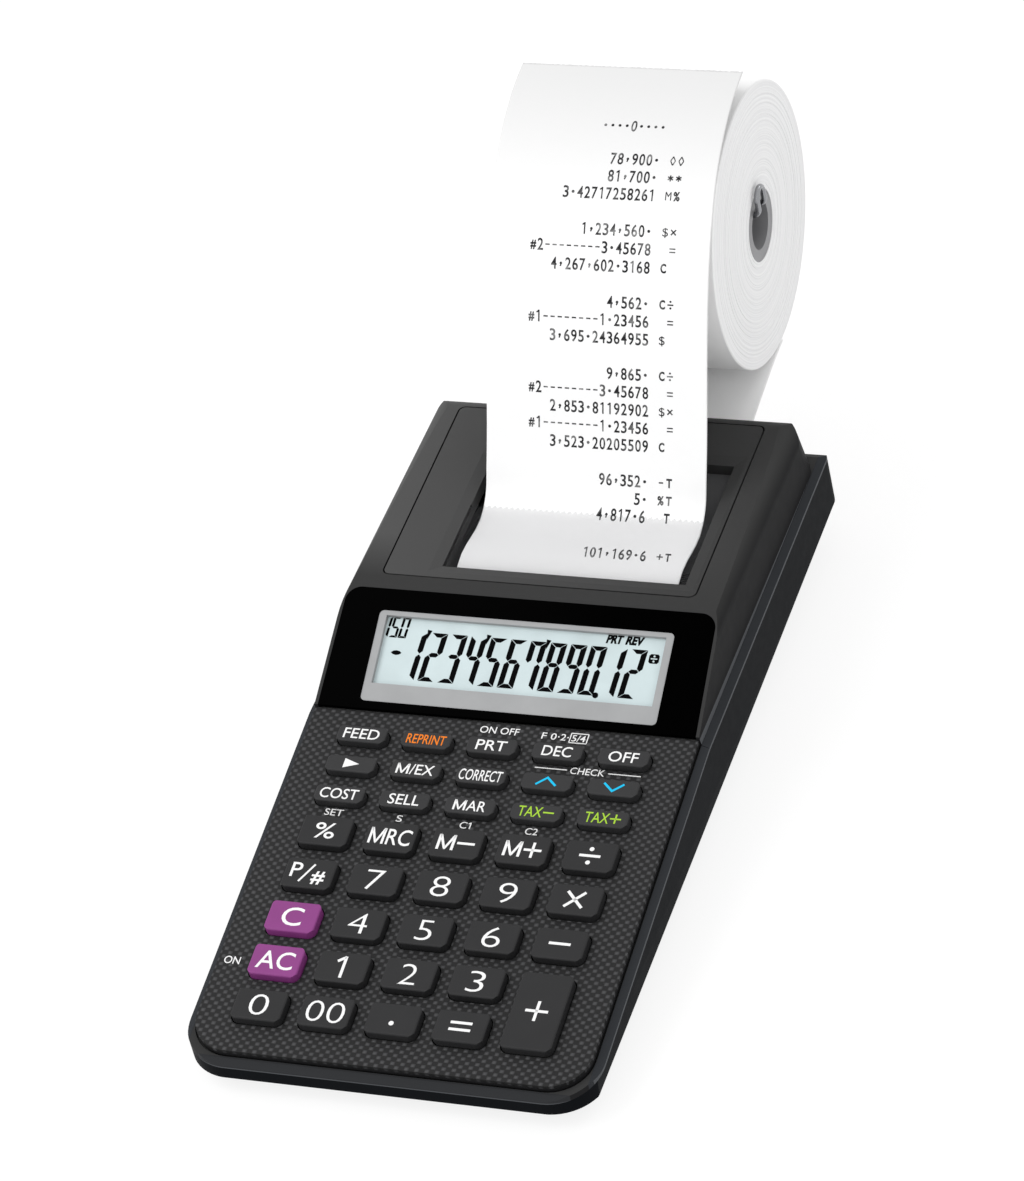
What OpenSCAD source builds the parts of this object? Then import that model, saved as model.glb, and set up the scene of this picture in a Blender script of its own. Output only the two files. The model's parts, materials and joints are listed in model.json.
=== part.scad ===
// Printing desk calculator with a paper roll on a wire holder.
// X runs across the case, Y from the front edge to the back, Z up from the table.
// The origin lies on the table, under the middle of the whole object.

/* [Case] */
// Width of the case at its rim
body_w = 102; // [98:0.5:108]
// Length of the printer's housing, from the display to the rim line of the rear wall
printer_l = 75.11; // [72:0.01:80]
// Wall thickness of both case halves
wall = 2; // [1.6:0.1:2.4]
// Radius of the case's front corners, seen from above
front_corner_r = 12; // [9:0.5:15]
// Radius of the case's rear corners, seen from above
rear_corner_r = 5; // [3:0.5:8]
// Radius of the printer housing's rear corners, seen from above
housing_corner_r = 7; // [5:0.5:8]
// Height of the case's underside over the table
ground_gap = 2.2; // [1.8:0.1:3]
// Height of the crease along the lower side walls, at the front
crease_front_h = 4.6; // [4:0.1:6]
// Height of the crease along the lower side walls, at the rear
crease_rear_h = 9.6; // [7:0.1:11]
// How far the rear wall leans out from the rim down to its crease
rear_lean = 3.1; // [1:0.1:4]
// Lean of the rear wall above the rim, in degrees
rear_wall_tilt = 10; // [6:0.5:14]
// Radius between the roof and the rear wall
roof_rear_r = 6.5; // [4:0.5:8]
// Radius between the roof and the side walls
roof_side_r = 6; // [4:0.5:6.5]
// Lean of the housing's side walls above the rim, in degrees
side_wall_tilt = 3.5; // [2:0.5:6]
// Rise of the roof towards the rear, in degrees
roof_tilt = 1.5; // [0:0.1:3]

/* [Rim] */
// Drop from the keyboard's surface to the line where the case halves meet
rim_drop = 3.2; // [3:0.1:3.8]
// Height of the rim's upright edge
rim_edge = 0.7; // [0.6:0.1:1.1]
// Height of the rim at its inner side
rim_h = 1.5; // [1.3:0.1:1.9]
// Width of the rim's sloping face
rim_w = 1.8; // [1.4:0.1:2.2]
// Rise of the rim beside the printer, in degrees
rim_rear_tilt = 1.06; // [0.5:0.1:1.8]

/* [Keyboard] */
// Height of the keyboard's surface over the table at the front edge
deck_front_h = 11; // [10.8:0.1:13]
// Slope of the keyboard, in degrees
deck_tilt = 8.4; // [7.4:0.1:9.4]
// Distance from the last row of keys to the display
deck_rear = 8.5; // [8.2:0.1:10]
// Distance from the case's front edge to the textured panel
panel_front = 2.3; // [1.8:0.1:3]
// Distance from the case's side to the textured panel
panel_side = 2.3; // [2.2:0.1:3]
// Thickness of the textured panel
panel_t = 1; // [0.8:0.1:1.4]
// Thickness of the case under the panel
deck_t = 1.6; // [1.4:0.1:2]

/* [Keys] */
// Distance from the outer columns of keys to the panel's edges
key_margin = 9.1; // [8.4:0.1:9.8]
// Space between two columns of keys
key_space_x = 3.8; // [3:0.1:4.4]
// Distance from the case's middle to the middle column of keys
keys_x = -0.3; // [-0.6:0.1:0.6]
// Distance between the rows of large keys
key_pitch_y = 12.65; // [12.3:0.05:13]
// Distance between the rows of small keys
small_pitch_y = 9.05; // [8.6:0.05:9.4]
// Distance from the upper row of large keys to the lowest row of small keys
row_gap_y = 11.05; // [10.8:0.05:11.4]
// Distance from the case's front edge to the middle of the front row
first_row_y = 14.55; // [13.8:0.05:15]
// Length of a large key
key_l = 8.8; // [8.2:0.1:9.2]
// Length of a small key
small_key_l = 5; // [4.6:0.1:5.4]
// How far a key stands over the panel
key_h = 2; // [1.8:0.1:2.6]
// How far a key goes down
key_travel = 1.6; // [1:0.1:1.7]
// Corner radius of a key, seen from above
key_corner_r = 2.1; // [1.4:0.1:2.3]
// Radius along a key's top edge
key_edge_r = 0.5; // [0.3:0.1:0.9]
// How far a key's side walls draw in from its foot to its top
key_draft = 0.15; // [0.1:0.05:0.4]
// Gap between a key and the edge of its hole
key_gap = 0.3; // [0.2:0.05:0.4]
// How far a key's collar reaches under the case
key_lip = 0.6; // [0.5:0.05:0.65]
// Thickness of a key's collar
collar_t = 0.8; // [0.6:0.1:1]

/* [Display] */
// Rise from the keyboard's surface to the display's lower edge
display_step = 0.7; // [0.4:0.1:1.2]
// Slope of the display, in degrees
display_tilt = 25; // [23:0.5:27]
// Length of the display's slope
display_l = 32.1; // [31:0.1:34]
// Thickness of the black display panel
bezel_t = 1.5; // [1.2:0.1:2]
// Margin between the black panel and the case's edges beside and behind it
bezel_margin = 0.8; // [0.7:0.1:1.2]
// Radius of the black panel's upper corners
bezel_corner_r = 4; // [3:0.5:5]
// Width of the silver frame
frame_w = 75.4; // [74:0.2:78]
// Height of the silver frame along the slope
frame_l = 23.6; // [23:0.1:25]
// Distance from the display's lower edge to the silver frame
frame_from = 2.1; // [1.8:0.1:3]
// Width of the visible cell
cell_w = 71.6; // [69:0.2:73]
// Height of the visible cell along the slope
cell_l = 17.7; // [16.8:0.1:18.4]
// Width of the silver frame's lower band
frame_band = 4.7; // [4:0.1:5]

/* [Printer cover] */
// Distance from the display's upper edge to the cover
cover_from = 4.2; // [3.4:0.1:6]
// Distance from the rear wall's rim line to the cover's rear edge
cover_to = 9.8; // [9:0.1:12]
// Width of the cover
cover_w = 80; // [78:0.5:83]
// Thickness of the cover
cover_t = 1.6; // [1.4:0.1:2]
// Groove around the cover
cover_gap = 0.4; // [0.3:0.05:0.6]
// Corner radius of the cover
cover_corner_r = 1.6; // [1:0.1:2]
// Width of the shelf that the cover lies on
cover_shelf = 1.8; // [1.4:0.1:2.4]
// Distance from the cover's front edge to the paper opening
opening_from = 4.6; // [4:0.1:6]
// Length of the paper opening
opening_l = 42.3; // [40:0.1:44]
// Margin of the opening beside the paper
opening_side = 2.6; // [2:0.1:3]
// Width of the bevel round the opening
bevel_w = 2.8; // [1.5:0.1:3]
// Depth of the bevel round the opening
bevel_d = 0.7; // [0.4:0.05:0.8]
// Length of the clear tear bar
bar_l = 22.4; // [21:0.2:24]
// Thickness of the clear tear bar
bar_t = 1.1; // [0.9:0.1:1.4]
// Distance between the teeth of the tear bar
tooth_pitch = 1.5; // [1.2:0.1:2]

/* [Paper] */
// Width of the paper
paper_w = 57; // [56:0.5:58]
// Distance from the case's middle to the paper's middle
paper_x = 5.1; // [3:0.1:6]
// Thickness of the paper strip
paper_t = 0.3; // [0.2:0.05:0.4]
// Radius of the paper roll
roll_r = 35.9; // [34:0.1:37]
// Height of the roll's middle over the table
roll_h = 75.4; // [74:0.2:80]
// Distance from the rear wall's rim line to the roll's middle
roll_from = 27.2; // [26.6:0.1:32]
// Outer radius of the roll's core
core_r = 9.2; // [8.6:0.1:10]
// Radius of the bore through the core
core_bore_r = 6.2; // [5.8:0.1:7]
// Gap between the roll and the paper that leads to and from it
roll_gap = 0.35; // [0.25:0.05:0.6]
// Gap between the roll and the strip that leans back over it
strip_gap = 1.2; // [1:0.1:3]
// How far the strip's end stands over the roll
strip_rise = 5.4; // [4:0.1:8]
// How far the strip's end reaches behind the roll's middle
strip_reach = 7.4; // [2:0.1:12]
// Height of the rear paper slot over the rim's parting line
slot_h = 11; // [9.6:0.1:11.6]
// Clear height of the rear paper slot
slot_clear = 3; // [2:0.1:3.4]

/* [Wire holder] */
// Thickness of the wire
wire_d = 1.4; // [1.2:0.1:1.6]
// Distance between the two legs of the wire
leg_gap = 4.8; // [4:0.1:5.4]
// Bend radius of the wire, to its middle
wire_bend = 2; // [1.6:0.1:2.4]
// Height of the turned-up end over the axle
hook_h = 6.6; // [6:0.1:8]
// Gap between the wire and the roll's sides
wire_side_gap = 0.5; // [0.3:0.1:1]
// Depth of the sockets that hold the wire in the rear wall
socket_l = 9; // [7:0.5:10]

/* [Printer] */
// Radius of the paper feed roller
feed_r = 5.5; // [5:0.1:6]
// Radius of the feed roller's shaft
feed_shaft_r = 1.5; // [1.3:0.1:2]
// Height of the feed roller's middle under the roof's front edge
feed_drop = 12.2; // [11.8:0.1:13]
// Distance from the cover's front edge to the feed roller's middle
feed_from = 11; // [10.4:0.1:12]
// Running clearance of shafts in their bearings
run_gap = 0.06; // [0.03:0.01:0.1]
// Thickness of the printer's side plates
plate_t = 1.6; // [1.2:0.1:2]
// Distance from the paper's edge to the printer's side plates
plate_side = 4.4; // [4.2:0.1:5]
// Width of the print carriage
carriage_w = 12; // [10:0.5:14]
// Radius of the carriage's guide rod
rod_r = 1.5; // [1.2:0.1:1.8]

/* [Power] */
// Diameter of a battery
cell_d = 14.3; // [14:0.1:14.5]
// Length of a battery with its button
battery_l = 50.3; // [49.5:0.1:50.5]
// Distance between the batteries' axes
cell_pitch = 15; // [14.8:0.1:15.4]
// Thickness of the battery cover
door_t = 1.6; // [1.4:0.1:1.8]
// How far the battery cover slides before it comes off
door_travel = 6; // [4:0.5:8]
// Gap around the battery cover
door_gap = 0.3; // [0.2:0.05:0.4]
// Radius of the adaptor inlet
inlet_r = 2.8; // [2.5:0.1:3]
// Distance from the case's middle to the adaptor inlet
inlet_x = 20; // [14:0.5:24]
// Height of the adaptor inlet over the table
inlet_z = 14; // [13:0.5:15]

/* [Feet and screws] */
// Radius of a rubber foot
foot_r = 4.5; // [4:0.1:5.5]
// Distance of the feet from the case's sides
foot_side = 13; // [12:0.5:14]
// Distance of the feet from the case's ends
foot_end = 24; // [22:0.5:28]
// Distance of the front screws from the case's sides
screw_side = 6; // [5.8:0.1:6.4]
// Distance of the rear screws from the case's sides
screw_rear_side = 13; // [12:0.2:13.4]
// Distance of the front screws from the front edge
screw_front = 13; // [12:0.5:15]
// Distance of the rear screws from the rear wall's rim line
screw_rear = 6; // [5.6:0.1:6.6]
// Radius of a screw's thread
screw_r = 1.3; // [1.1:0.1:1.5]
// Radius of a screw's head
head_r = 2.5; // [2.2:0.1:2.8]
// Height of a screw's head
head_h = 1.4; // [1.2:0.1:1.8]
// Length of a screw with its head
screw_l = 7.4; // [6.6:0.1:7.8]

/* [Hidden] */
$fn = 48;
far = 300;
skin = 0.2;

// Keys: [name, column, row]. Row 0 is the front row, and rows 5 to 7 hold the small keys.
SMALL_KEYS = [
    ["key_feed", 0, 7], ["key_reprint", 1, 7], ["key_print_mode", 2, 7],
    ["key_decimals", 3, 7], ["key_off", 4, 7],
    ["key_next", 0, 6], ["key_memory_exchange", 1, 6], ["key_correct", 2, 6],
    ["key_up", 3, 6], ["key_down", 4, 6],
    ["key_cost", 0, 5], ["key_sell", 1, 5], ["key_margin", 2, 5],
    ["key_tax_minus", 3, 5], ["key_tax_plus", 4, 5]];
LARGE_KEYS = [
    ["key_percent", 0, 4], ["key_memory_recall", 1, 4], ["key_memory_minus", 2, 4],
    ["key_memory_plus", 3, 4], ["key_divide", 4, 4],
    ["key_number", 0, 3], ["key_7", 1, 3], ["key_8", 2, 3], ["key_9", 3, 3],
    ["key_multiply", 4, 3],
    ["key_clear", 0, 2], ["key_4", 1, 2], ["key_5", 2, 2], ["key_6", 3, 2],
    ["key_minus", 4, 2],
    ["key_all_clear", 0, 1], ["key_1", 1, 1], ["key_2", 2, 1], ["key_3", 3, 1],
    ["key_0", 0, 0], ["key_00", 1, 0], ["key_point", 2, 0], ["key_equals", 3, 0]];
TALL_KEYS = [["key_plus", 4, 0.5]];
KEYS = concat(SMALL_KEYS, LARGE_KEYS, TALL_KEYS);

OTHER_NODES = [
    "lower_case", "upper_case", "keyboard_panel", "display_bezel", "lcd_frame",
    "lcd_panel", "printer_cover", "paper_cutter", "keypad_membrane", "circuit_board",
    "printer_frame", "feed_roller", "print_carriage", "paper_roll", "roll_core",
    "paper_strip", "paper_holder", "battery_cover", "batteries", "rubber_feet",
    "case_screws"];

// ---- the keyboard ----
deck_w = body_w - 2 * panel_side;
key_w = (deck_w - 2 * key_margin - 4 * key_space_x) / 5;
function column_x(c) = keys_x + (c - 2) * (key_w + key_space_x);
function row_y(r) = r <= 4 ? first_row_y + r * key_pitch_y
    : first_row_y + 4 * key_pitch_y + row_gap_y + (r - 5) * small_pitch_y;
deck_l = row_y(7) + deck_rear;

// ---- places along the case, counted from its front edge ----
deck_end_y = deck_l * cos(deck_tilt);
deck_end_z = deck_front_h + deck_l * sin(deck_tilt);
display_y = deck_end_y + display_l * cos(display_tilt);
display_z = deck_end_z + display_step + display_l * sin(display_tilt);
rear_y = display_y + printer_l;
body_l = rear_y + rear_lean;
part_mid_z = deck_end_z - rim_drop;
part_rear_z = part_mid_z + (rear_y - deck_end_y) * tan(rim_rear_tilt);
function roof_z(y) = display_z + (y - display_y) * tan(roof_tilt);
housing_rear_y = rear_y - rim_w;
function rear_wall_y(z) = housing_rear_y - (z - part_rear_z) * tan(rear_wall_tilt);
roof_rear_z = roof_z(rear_wall_y(roof_z(rear_y)));
roof_rear_y = rear_wall_y(roof_rear_z);
cover_y = display_y + cover_from;
cover_l = rear_y - cover_to - cover_y;
cover_z = roof_z(cover_y);
opening_y = cover_y + opening_from;
bar_end_y = opening_y + bar_l;
opening_end_y = opening_y + opening_l;
opening_w = paper_w + 2 * opening_side;
roll_y = rear_y + roll_from;
overall_l = roll_y + roll_r;
slot_z = part_rear_z + slot_h;
slot_y = rear_wall_y(slot_z);
slot_w = paper_w + 2;
feed_y = cover_y + feed_from;
feed_z = cover_z - feed_drop;
floor_z = ground_gap + wall;

// ---- heights inside the keyboard, down from its surface ----
deck_under = panel_t + deck_t;
collar_top = deck_under + key_gap;
collar_under = collar_top + collar_t;
dome_top = collar_under + 0.2;
sheet_t = 0.5;
sheet_top = collar_under + key_travel + 0.3;
sheet_under = sheet_top + sheet_t;
board_t = 1.2;

// ---- plane geometry ----
function unit(v) = v / norm(v);
function half_angle(a, p, b) = acos(unit(a - p) * unit(b - p)) / 2;
function touch(a, p, b, r) = p + unit(a - p) * r / tan(half_angle(a, p, b));
function middle(a, p, b, r) =
    p + unit(unit(a - p) + unit(b - p)) * r / sin(half_angle(a, p, b));
function inward(a, b) = let (d = unit(b - a)) [-d[1], d[0]];
// The same outline, drawn in by t on every side. Points run anticlockwise.
function inset(pts, t) = let (n = len(pts)) [for (i = [0:n - 1])
    let (m1 = inward(pts[(i + n - 1) % n], pts[i]), m2 = inward(pts[i], pts[(i + 1) % n]))
    pts[i] + t * (m1 + m2) / (1 + m1 * m2)];
// One point of a cubic curve
function bezier(p, t) = pow(1 - t, 3) * p[0] + 3 * pow(1 - t, 2) * t * p[1]
    + 3 * (1 - t) * t * t * p[2] + pow(t, 3) * p[3];
function heading(a) = [cos(a), sin(a)];

// A polygon with true arcs at its corners
module rounded(pts, radii) {
    n = len(pts);
    polygon([for (i = [0:n - 1])
        let (a = pts[(i + n - 1) % n], p = pts[i], b = pts[(i + 1) % n], r = radii[i])
        each r > 0 ? [touch(a, p, b, r), touch(b, p, a, r)] : [p]]);
    for (i = [0:n - 1])
        if (radii[i] > 0)
            translate(middle(pts[(i + n - 1) % n], pts[i], pts[(i + 1) % n], radii[i]))
                circle(r = radii[i]);
}
function box_points(w, y0, y1) = [[-w / 2, y0], [w / 2, y0], [w / 2, y1], [-w / 2, y1]];
module slab(w, y0, y1, r_front, r_rear)
    rounded(box_points(w, y0, y1), [r_front, r_front, r_rear, r_rear]);

// ---- frames ----
module in_case() translate([0, -overall_l / 2, 0]) children();
module on_deck() in_case() translate([0, 0, deck_front_h]) rotate([deck_tilt, 0, 0]) children();
module on_display() in_case() translate([0, deck_end_y, deck_end_z + display_step])
    rotate([display_tilt, 0, 0]) children();
module on_roof() in_case() translate([0, cover_y, cover_z]) rotate([roof_tilt, 0, 0]) children();
// Extrudes a side view (Y, Z) across X
module across(w, x = 0) translate([x - w / 2, 0, 0]) rotate([90, 0, 90]) linear_extrude(w) children();
// Extrudes a front view (X, Z) along Y
module along(y0, y1) translate([0, y1, 0]) rotate([90, 0, 0]) linear_extrude(y1 - y0) children();

// ---- case ----
module case_outline(t) slab(body_w - 2 * t, t, body_l - t, front_corner_r - t, rear_corner_r - t);

module rim_shape(l) {
    w = body_w / 2;
    intersection() {
        along(-1, l) polygon([[-w, 0], [w, 0], [w, rim_edge], [w - rim_w, rim_h],
            [rim_w - w, rim_h], [-w, rim_edge]]);
        children();
    }
}
module rim() {
    intersection() {
        linear_extrude(far) case_outline(0);
        union() {
            translate([0, 0, deck_front_h - rim_drop]) rotate([deck_tilt, 0, 0])
                rim_shape(deck_l) across(body_w) polygon([[0, 0], [deck_l, 0],
                    [deck_l, rim_h], [rim_w, rim_h], [0, rim_edge]]);
            translate([0, deck_end_y, part_mid_z]) rotate([rim_rear_tilt, 0, 0])
                rim_shape(rear_y - deck_end_y) across(body_w)
                    polygon([[0, 0], [rear_y - deck_end_y, 0],
                        [rear_y - deck_end_y, rim_edge],
                        [rear_y - deck_end_y - rim_w, rim_h], [0, rim_h]]);
        }
    }
}
module deck_outline(t, end = 0)
    slab(deck_w - 2 * t, panel_front + t, deck_l - end, front_corner_r - panel_side - t, 0);

housing_pts = [[deck_end_y, part_mid_z], [housing_rear_y, part_rear_z],
    [roof_rear_y, roof_rear_z], [display_y, display_z],
    [deck_end_y, deck_end_z + display_step]];
housing_foot = body_w / 2 - rim_w;
function housing_half(z) = housing_foot - (z - part_mid_z) * tan(side_wall_tilt);
housing_section = [[-housing_half(0), 0], [housing_half(0), 0],
    [housing_half(roof_rear_z), roof_rear_z], [-housing_half(roof_rear_z), roof_rear_z]];
module housing(t) {
    difference() {
        intersection() {
            across(far) {
                rounded(inset(housing_pts, t), [0, 0, roof_rear_r - t, 0, 0]);
                if (t > 0)
                    translate([deck_end_y + t, 0])
                        square([housing_rear_y - deck_end_y - 2 * t, part_mid_z + 3 * t]);
            }
            along(0, far)
                rounded(inset(housing_section, t), [0, 0, roof_side_r - t, roof_side_r - t]);
        }
        for (side = [-1, 1]) corner_waste(side, t);
    }
}
// What lies outside the round at a rear corner, along the edge where two leaning walls meet
module corner_waste(side, t) {
    r = housing_corner_r - t;
    translate([side * (housing_half(roof_rear_z) - t / cos(side_wall_tilt)),
        roof_rear_y - t / cos(rear_wall_tilt), roof_rear_z])
        rotate([rear_wall_tilt, -side * side_wall_tilt, 0])
            translate([0, 0, -far / 4]) linear_extrude(far / 2) difference() {
                translate([side > 0 ? -r : -2, -r]) square(r + 2);
                translate([-side * r, -r]) circle(r = r);
            }
}

tall_key_l = key_l + key_pitch_y;
function length_of(key) = key[2] > 4 ? small_key_l
    : key[2] == 0.5 ? tall_key_l : key_l;
function place_of(key) = [column_x(key[1]), row_y(key[2])];
module key_outline(key, grow) {
    half = [key_w / 2 + grow, length_of(key) / 2 + grow];
    r = key_corner_r + grow;
    translate(place_of(key)) rounded([[-half[0], -half[1]], [half[0], -half[1]],
        [half[0], half[1]], [-half[0], half[1]]], [r, r, r, r]);
}
module key_holes()
    translate([0, 0, -deck_under - 1]) linear_extrude(deck_under + 2)
        for (k = KEYS) key_outline(k, key_gap);

screw_places = [for (side = [-1, 1]) each [
    [side * (body_w / 2 - screw_side), screw_front],
    [side * (body_w / 2 - screw_rear_side), rear_y - screw_rear]]];
boss_r = 3.2;
boss_foot_z = floor_z + 2.4;
screw_z = ground_gap + 0.6;
screw_bore_l = screw_z + screw_l - boss_foot_z + 0.4;
module upper_boss(p) {
    top = p[1] < deck_end_y
        ? deck_front_h + p[1] * tan(deck_tilt) - panel_t - deck_t / 2
        : roof_z(p[1]) - 1.5 * wall;
    translate([p[0], p[1], boss_foot_z]) cylinder(r = boss_r, h = top - boss_foot_z);
}
module screw_bores()
    for (p = screw_places) translate([p[0], p[1], boss_foot_z - 1])
        cylinder(r = screw_r + run_gap, h = screw_bore_l + 1);
// The sockets for the wire holder lie one over the other in the rear wall.
wire_x = paper_x - paper_w / 2 - wire_side_gap - wire_d / 2 - 2;
socket_low_z = part_rear_z + rim_h + 2;
socket_high_z = socket_low_z + leg_gap;
module socket_block() {
    y1 = housing_rear_y - wall / 2;
    translate([wire_x - 3, y1 - socket_l, socket_low_z - 2.4])
        cube([6, socket_l, leg_gap + 4.8]);
}
module socket_bores()
    for (z = [socket_low_z, socket_high_z])
        translate([wire_x, housing_rear_y - socket_l, z]) rotate([-90, 0, 0])
            cylinder(r = wire_d / 2 + run_gap, h = socket_l + 3);

module cover_outline(grow) slab(cover_w + 2 * grow, -grow, cover_l + grow,
    cover_corner_r + grow, cover_corner_r + grow);
module roof_hole() {
    // The shelf carries the cover, and the hole inside it opens to the printer.
    translate([0, 0, -cover_t]) linear_extrude(far) cover_outline(cover_gap);
    translate([0, 0, -far / 8]) linear_extrude(far / 4)
        translate([-cover_w / 2 + cover_shelf, cover_shelf])
            square([cover_w - 2 * cover_shelf, cover_l - 2 * cover_shelf]);
}

module upper_case() color("DimGray") {
    difference() {
        in_case() union() {
            difference() {
                union() {
                    rim();
                    translate([0, 0, deck_front_h]) rotate([deck_tilt, 0, 0])
                        translate([0, 0, -rim_drop * cos(deck_tilt)])
                            linear_extrude(rim_drop * cos(deck_tilt) - panel_t) deck_outline(0);
                    housing(0);
                }
                // groove between the panel's plinth and the rim
                translate([0, 0, deck_front_h]) rotate([deck_tilt, 0, 0])
                    translate([0, 0, -rim_drop + rim_edge]) linear_extrude(far) difference() {
                        slab(body_w - 2 * rim_w, rim_w, deck_l, front_corner_r - rim_w, 0);
                        deck_outline(0);
                    }
                // hollow under the keyboard
                intersection() {
                    translate([0, 0, deck_front_h]) rotate([deck_tilt, 0, 0])
                        translate([0, 0, -far - deck_under]) linear_extrude(far)
                            deck_outline(wall - 0.6, -far);
                    linear_extrude(far) slab(body_w, 0, deck_end_y + 1.5 * wall, 0, 0);
                }
                housing(wall);
            }
            intersection() {
                for (p = screw_places) upper_boss(p);
                union() {
                    housing(0);
                    translate([-far / 2, 0, 0]) cube([far, body_l, part_mid_z + 1]);
                }
            }
            intersection() {
                housing(0);
                socket_block();
            }
        }
        on_deck() key_holes();
        on_display() display_recess();
        on_roof() roof_hole();
        in_case() socket_bores();
        in_case() screw_bores();
        in_case() translate([paper_x - slot_w / 2, slot_y - 4 * wall, slot_z - slot_clear / 2])
            cube([slot_w, far, slot_clear]);
    }
}

// ---- lower case ----
under_front = 3.4;
under_rear = 6;
lower_pts = [[under_front, ground_gap], [body_l - under_rear, ground_gap], [body_l, crease_rear_h],
    [rear_y, part_rear_z], [deck_end_y, part_mid_z], [0, deck_front_h - rim_drop],
    [0, crease_front_h]];
crease_tilt = atan((crease_rear_h - crease_front_h) / body_l);
side_taper = 0.9;
under_turn = 10.2;
module lower_shape(t) {
    intersection() {
        across(far) union() {
            rounded(inset(lower_pts, t), [3, 0, 0, 0, 0, 0, 0]);
            if (t > 0)
                polygon([[t, crease_front_h], [body_l - t - rear_lean, crease_front_h],
                    [rear_y - t, far], [t, far]]);
        }
        linear_extrude(far) case_outline(t);
        union() {
            translate([-far / 2, 0, part_mid_z / 2]) cube([far, far, far]);
            lower_sides(t);
        }
    }
}
// Side walls below the rim: they draw in a little down to the crease, then turn under.
module lower_sides(t) {
    w = body_w / 2 - t;
    translate([0, 0, crease_front_h]) rotate([crease_tilt, 0, 0]) along(-2, body_l + 2)
        polygon([[-w + side_taper + under_turn, -12], [w - side_taper - under_turn, -12],
            [w - side_taper, 0], [w, part_mid_z], [-w, part_mid_z], [-w + side_taper, 0]]);
}

// What lies outside the conical round under a front corner
under_round = 5.6;
module under_corner_waste(side) difference() {
    translate([side > 0 ? body_w / 2 - front_corner_r : -body_w / 2 - 1, -1, ground_gap - 1])
        cube([front_corner_r + 1, front_corner_r + 1, crease_front_h - ground_gap + 1]);
    translate([side * (body_w / 2 - front_corner_r), front_corner_r, 0])
        cylinder(r1 = front_corner_r - under_round, r2 = front_corner_r + 0.05, h = crease_front_h);
}
cells_w = 3 * cell_pitch + cell_d;
bay_y = deck_end_y - 1.2;
bay_l = battery_l + 1.2;
bay_w = cells_w + 1.6;
door_w = bay_w + 5;
door_l = bay_l + 4;
door_y = bay_y - 2;
ring_top = floor_z + 0.8;
lip_l = 9;
lip_reach = 1;
lip_places = [8, bay_l - 8 - lip_l - door_travel];
door_seat_z = ground_gap + door_t;
module door_opening() {
    // seat of the cover, with the hollow behind it that it slides into
    translate([-door_w / 2 - door_gap, door_y - door_gap, ground_gap - 1])
        cube([door_w + 2 * door_gap, door_l + 2 * door_gap + door_travel, door_t + 1.1]);
    translate([-bay_w / 2, bay_y, 0]) cube([bay_w, bay_l, far]);
    // notches that let the cover's lips through
    for (y = lip_places)
        translate([-bay_w / 2 - lip_reach - door_gap, bay_y + y + door_travel - door_gap, 0])
            cube([bay_w + 2 * lip_reach + 2 * door_gap, lip_l + 2 * door_gap, far]);
}

module lower_case() color([0.16, 0.16, 0.17]) in_case() difference() {
    union() {
        difference() {
            lower_shape(0);
            difference() {
                lower_shape(wall);
                // battery bay's frame and walls
                translate([-door_w / 2 - 2, door_y - 2, 0]) cube([door_w + 4,
                    door_l + door_travel + 4, ring_top]);
                translate([-bay_w / 2, bay_y - wall, 0])
                    cube([bay_w, wall, floor_z + cell_d * 0.6]);
                translate([-bay_w / 2, bay_y + bay_l, 0]) cube([bay_w, wall, base_z]);
                for (x = [plate_x0 + 3, plate_x1 - 3])
                    translate([x, frame_y1 - 6, 0]) cylinder(r = 2.6, h = base_z);
                intersection() {
                    for (p = post_places) translate([p[0], p[1] * cos(deck_tilt), 0])
                        cylinder(r = post_r, h = far);
                    translate([0, 0, deck_front_h]) rotate([deck_tilt, 0, 0])
                        translate([-far / 2, -far / 2, -far - sheet_under - board_t])
                            cube([far, far, far]);
                }
                for (p = screw_places)
                    translate([p[0], p[1], 0]) cylinder(r = boss_r + 0.2, h = boss_foot_z);
                for (p = foot_places)
                    translate([p[0], p[1], 0]) cylinder(r = foot_r + 1, h = floor_z + 0.8);
                translate([inlet_x - 4.5, body_l - 11.5, 0]) cube([9, 11, inlet_z + 4.5]);
            }
        }
    }
    door_opening();
    for (side = [-1, 1]) under_corner_waste(side);
    for (p = screw_places) translate([p[0], p[1], 0]) {
        cylinder(r = head_r + 0.2, h = screw_z + head_h);
        cylinder(r = screw_r + 0.15, h = far);
    }
    for (p = foot_places) translate([p[0], p[1], 0])
        cylinder(r = foot_r + 0.05, h = ground_gap + foot_seat);
    translate([inlet_x, body_l - 10, inlet_z]) rotate([-90, 0, 0]) cylinder(r = inlet_r, h = 20);
}
foot_seat = 1;
foot_places = [for (x = [-1, 1], y = [foot_end, rear_y - foot_end])
    [x * (body_w / 2 - foot_side), y]];
module rubber_feet() color([0.08, 0.08, 0.08]) in_case()
    for (p = foot_places) translate([p[0], p[1], 0])
        rotate_extrude() rounded([[0, 0], [foot_r - 0.2, 0], [foot_r, ground_gap],
            [foot_r, ground_gap + foot_seat], [0, ground_gap + foot_seat]], [0, 0.8, 0, 0, 0]);

module case_screws() color("Silver") in_case()
    for (p = screw_places) translate([p[0], p[1], screw_z]) difference() {
        union() {
            cylinder(r = head_r, h = head_h);
            cylinder(r = screw_r, h = screw_l);
        }
        for (a = [0, 90]) rotate(a) translate([-1.4, -0.3, -1]) cube([2.8, 0.6, 1.6]);
    }

// ---- keyboard ----
module keyboard_panel() color([0.2, 0.2, 0.2]) difference() {
    on_deck() translate([0, 0, -panel_t]) linear_extrude(panel_t) deck_outline(0, 0.3);
    on_deck() key_holes();
}

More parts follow.
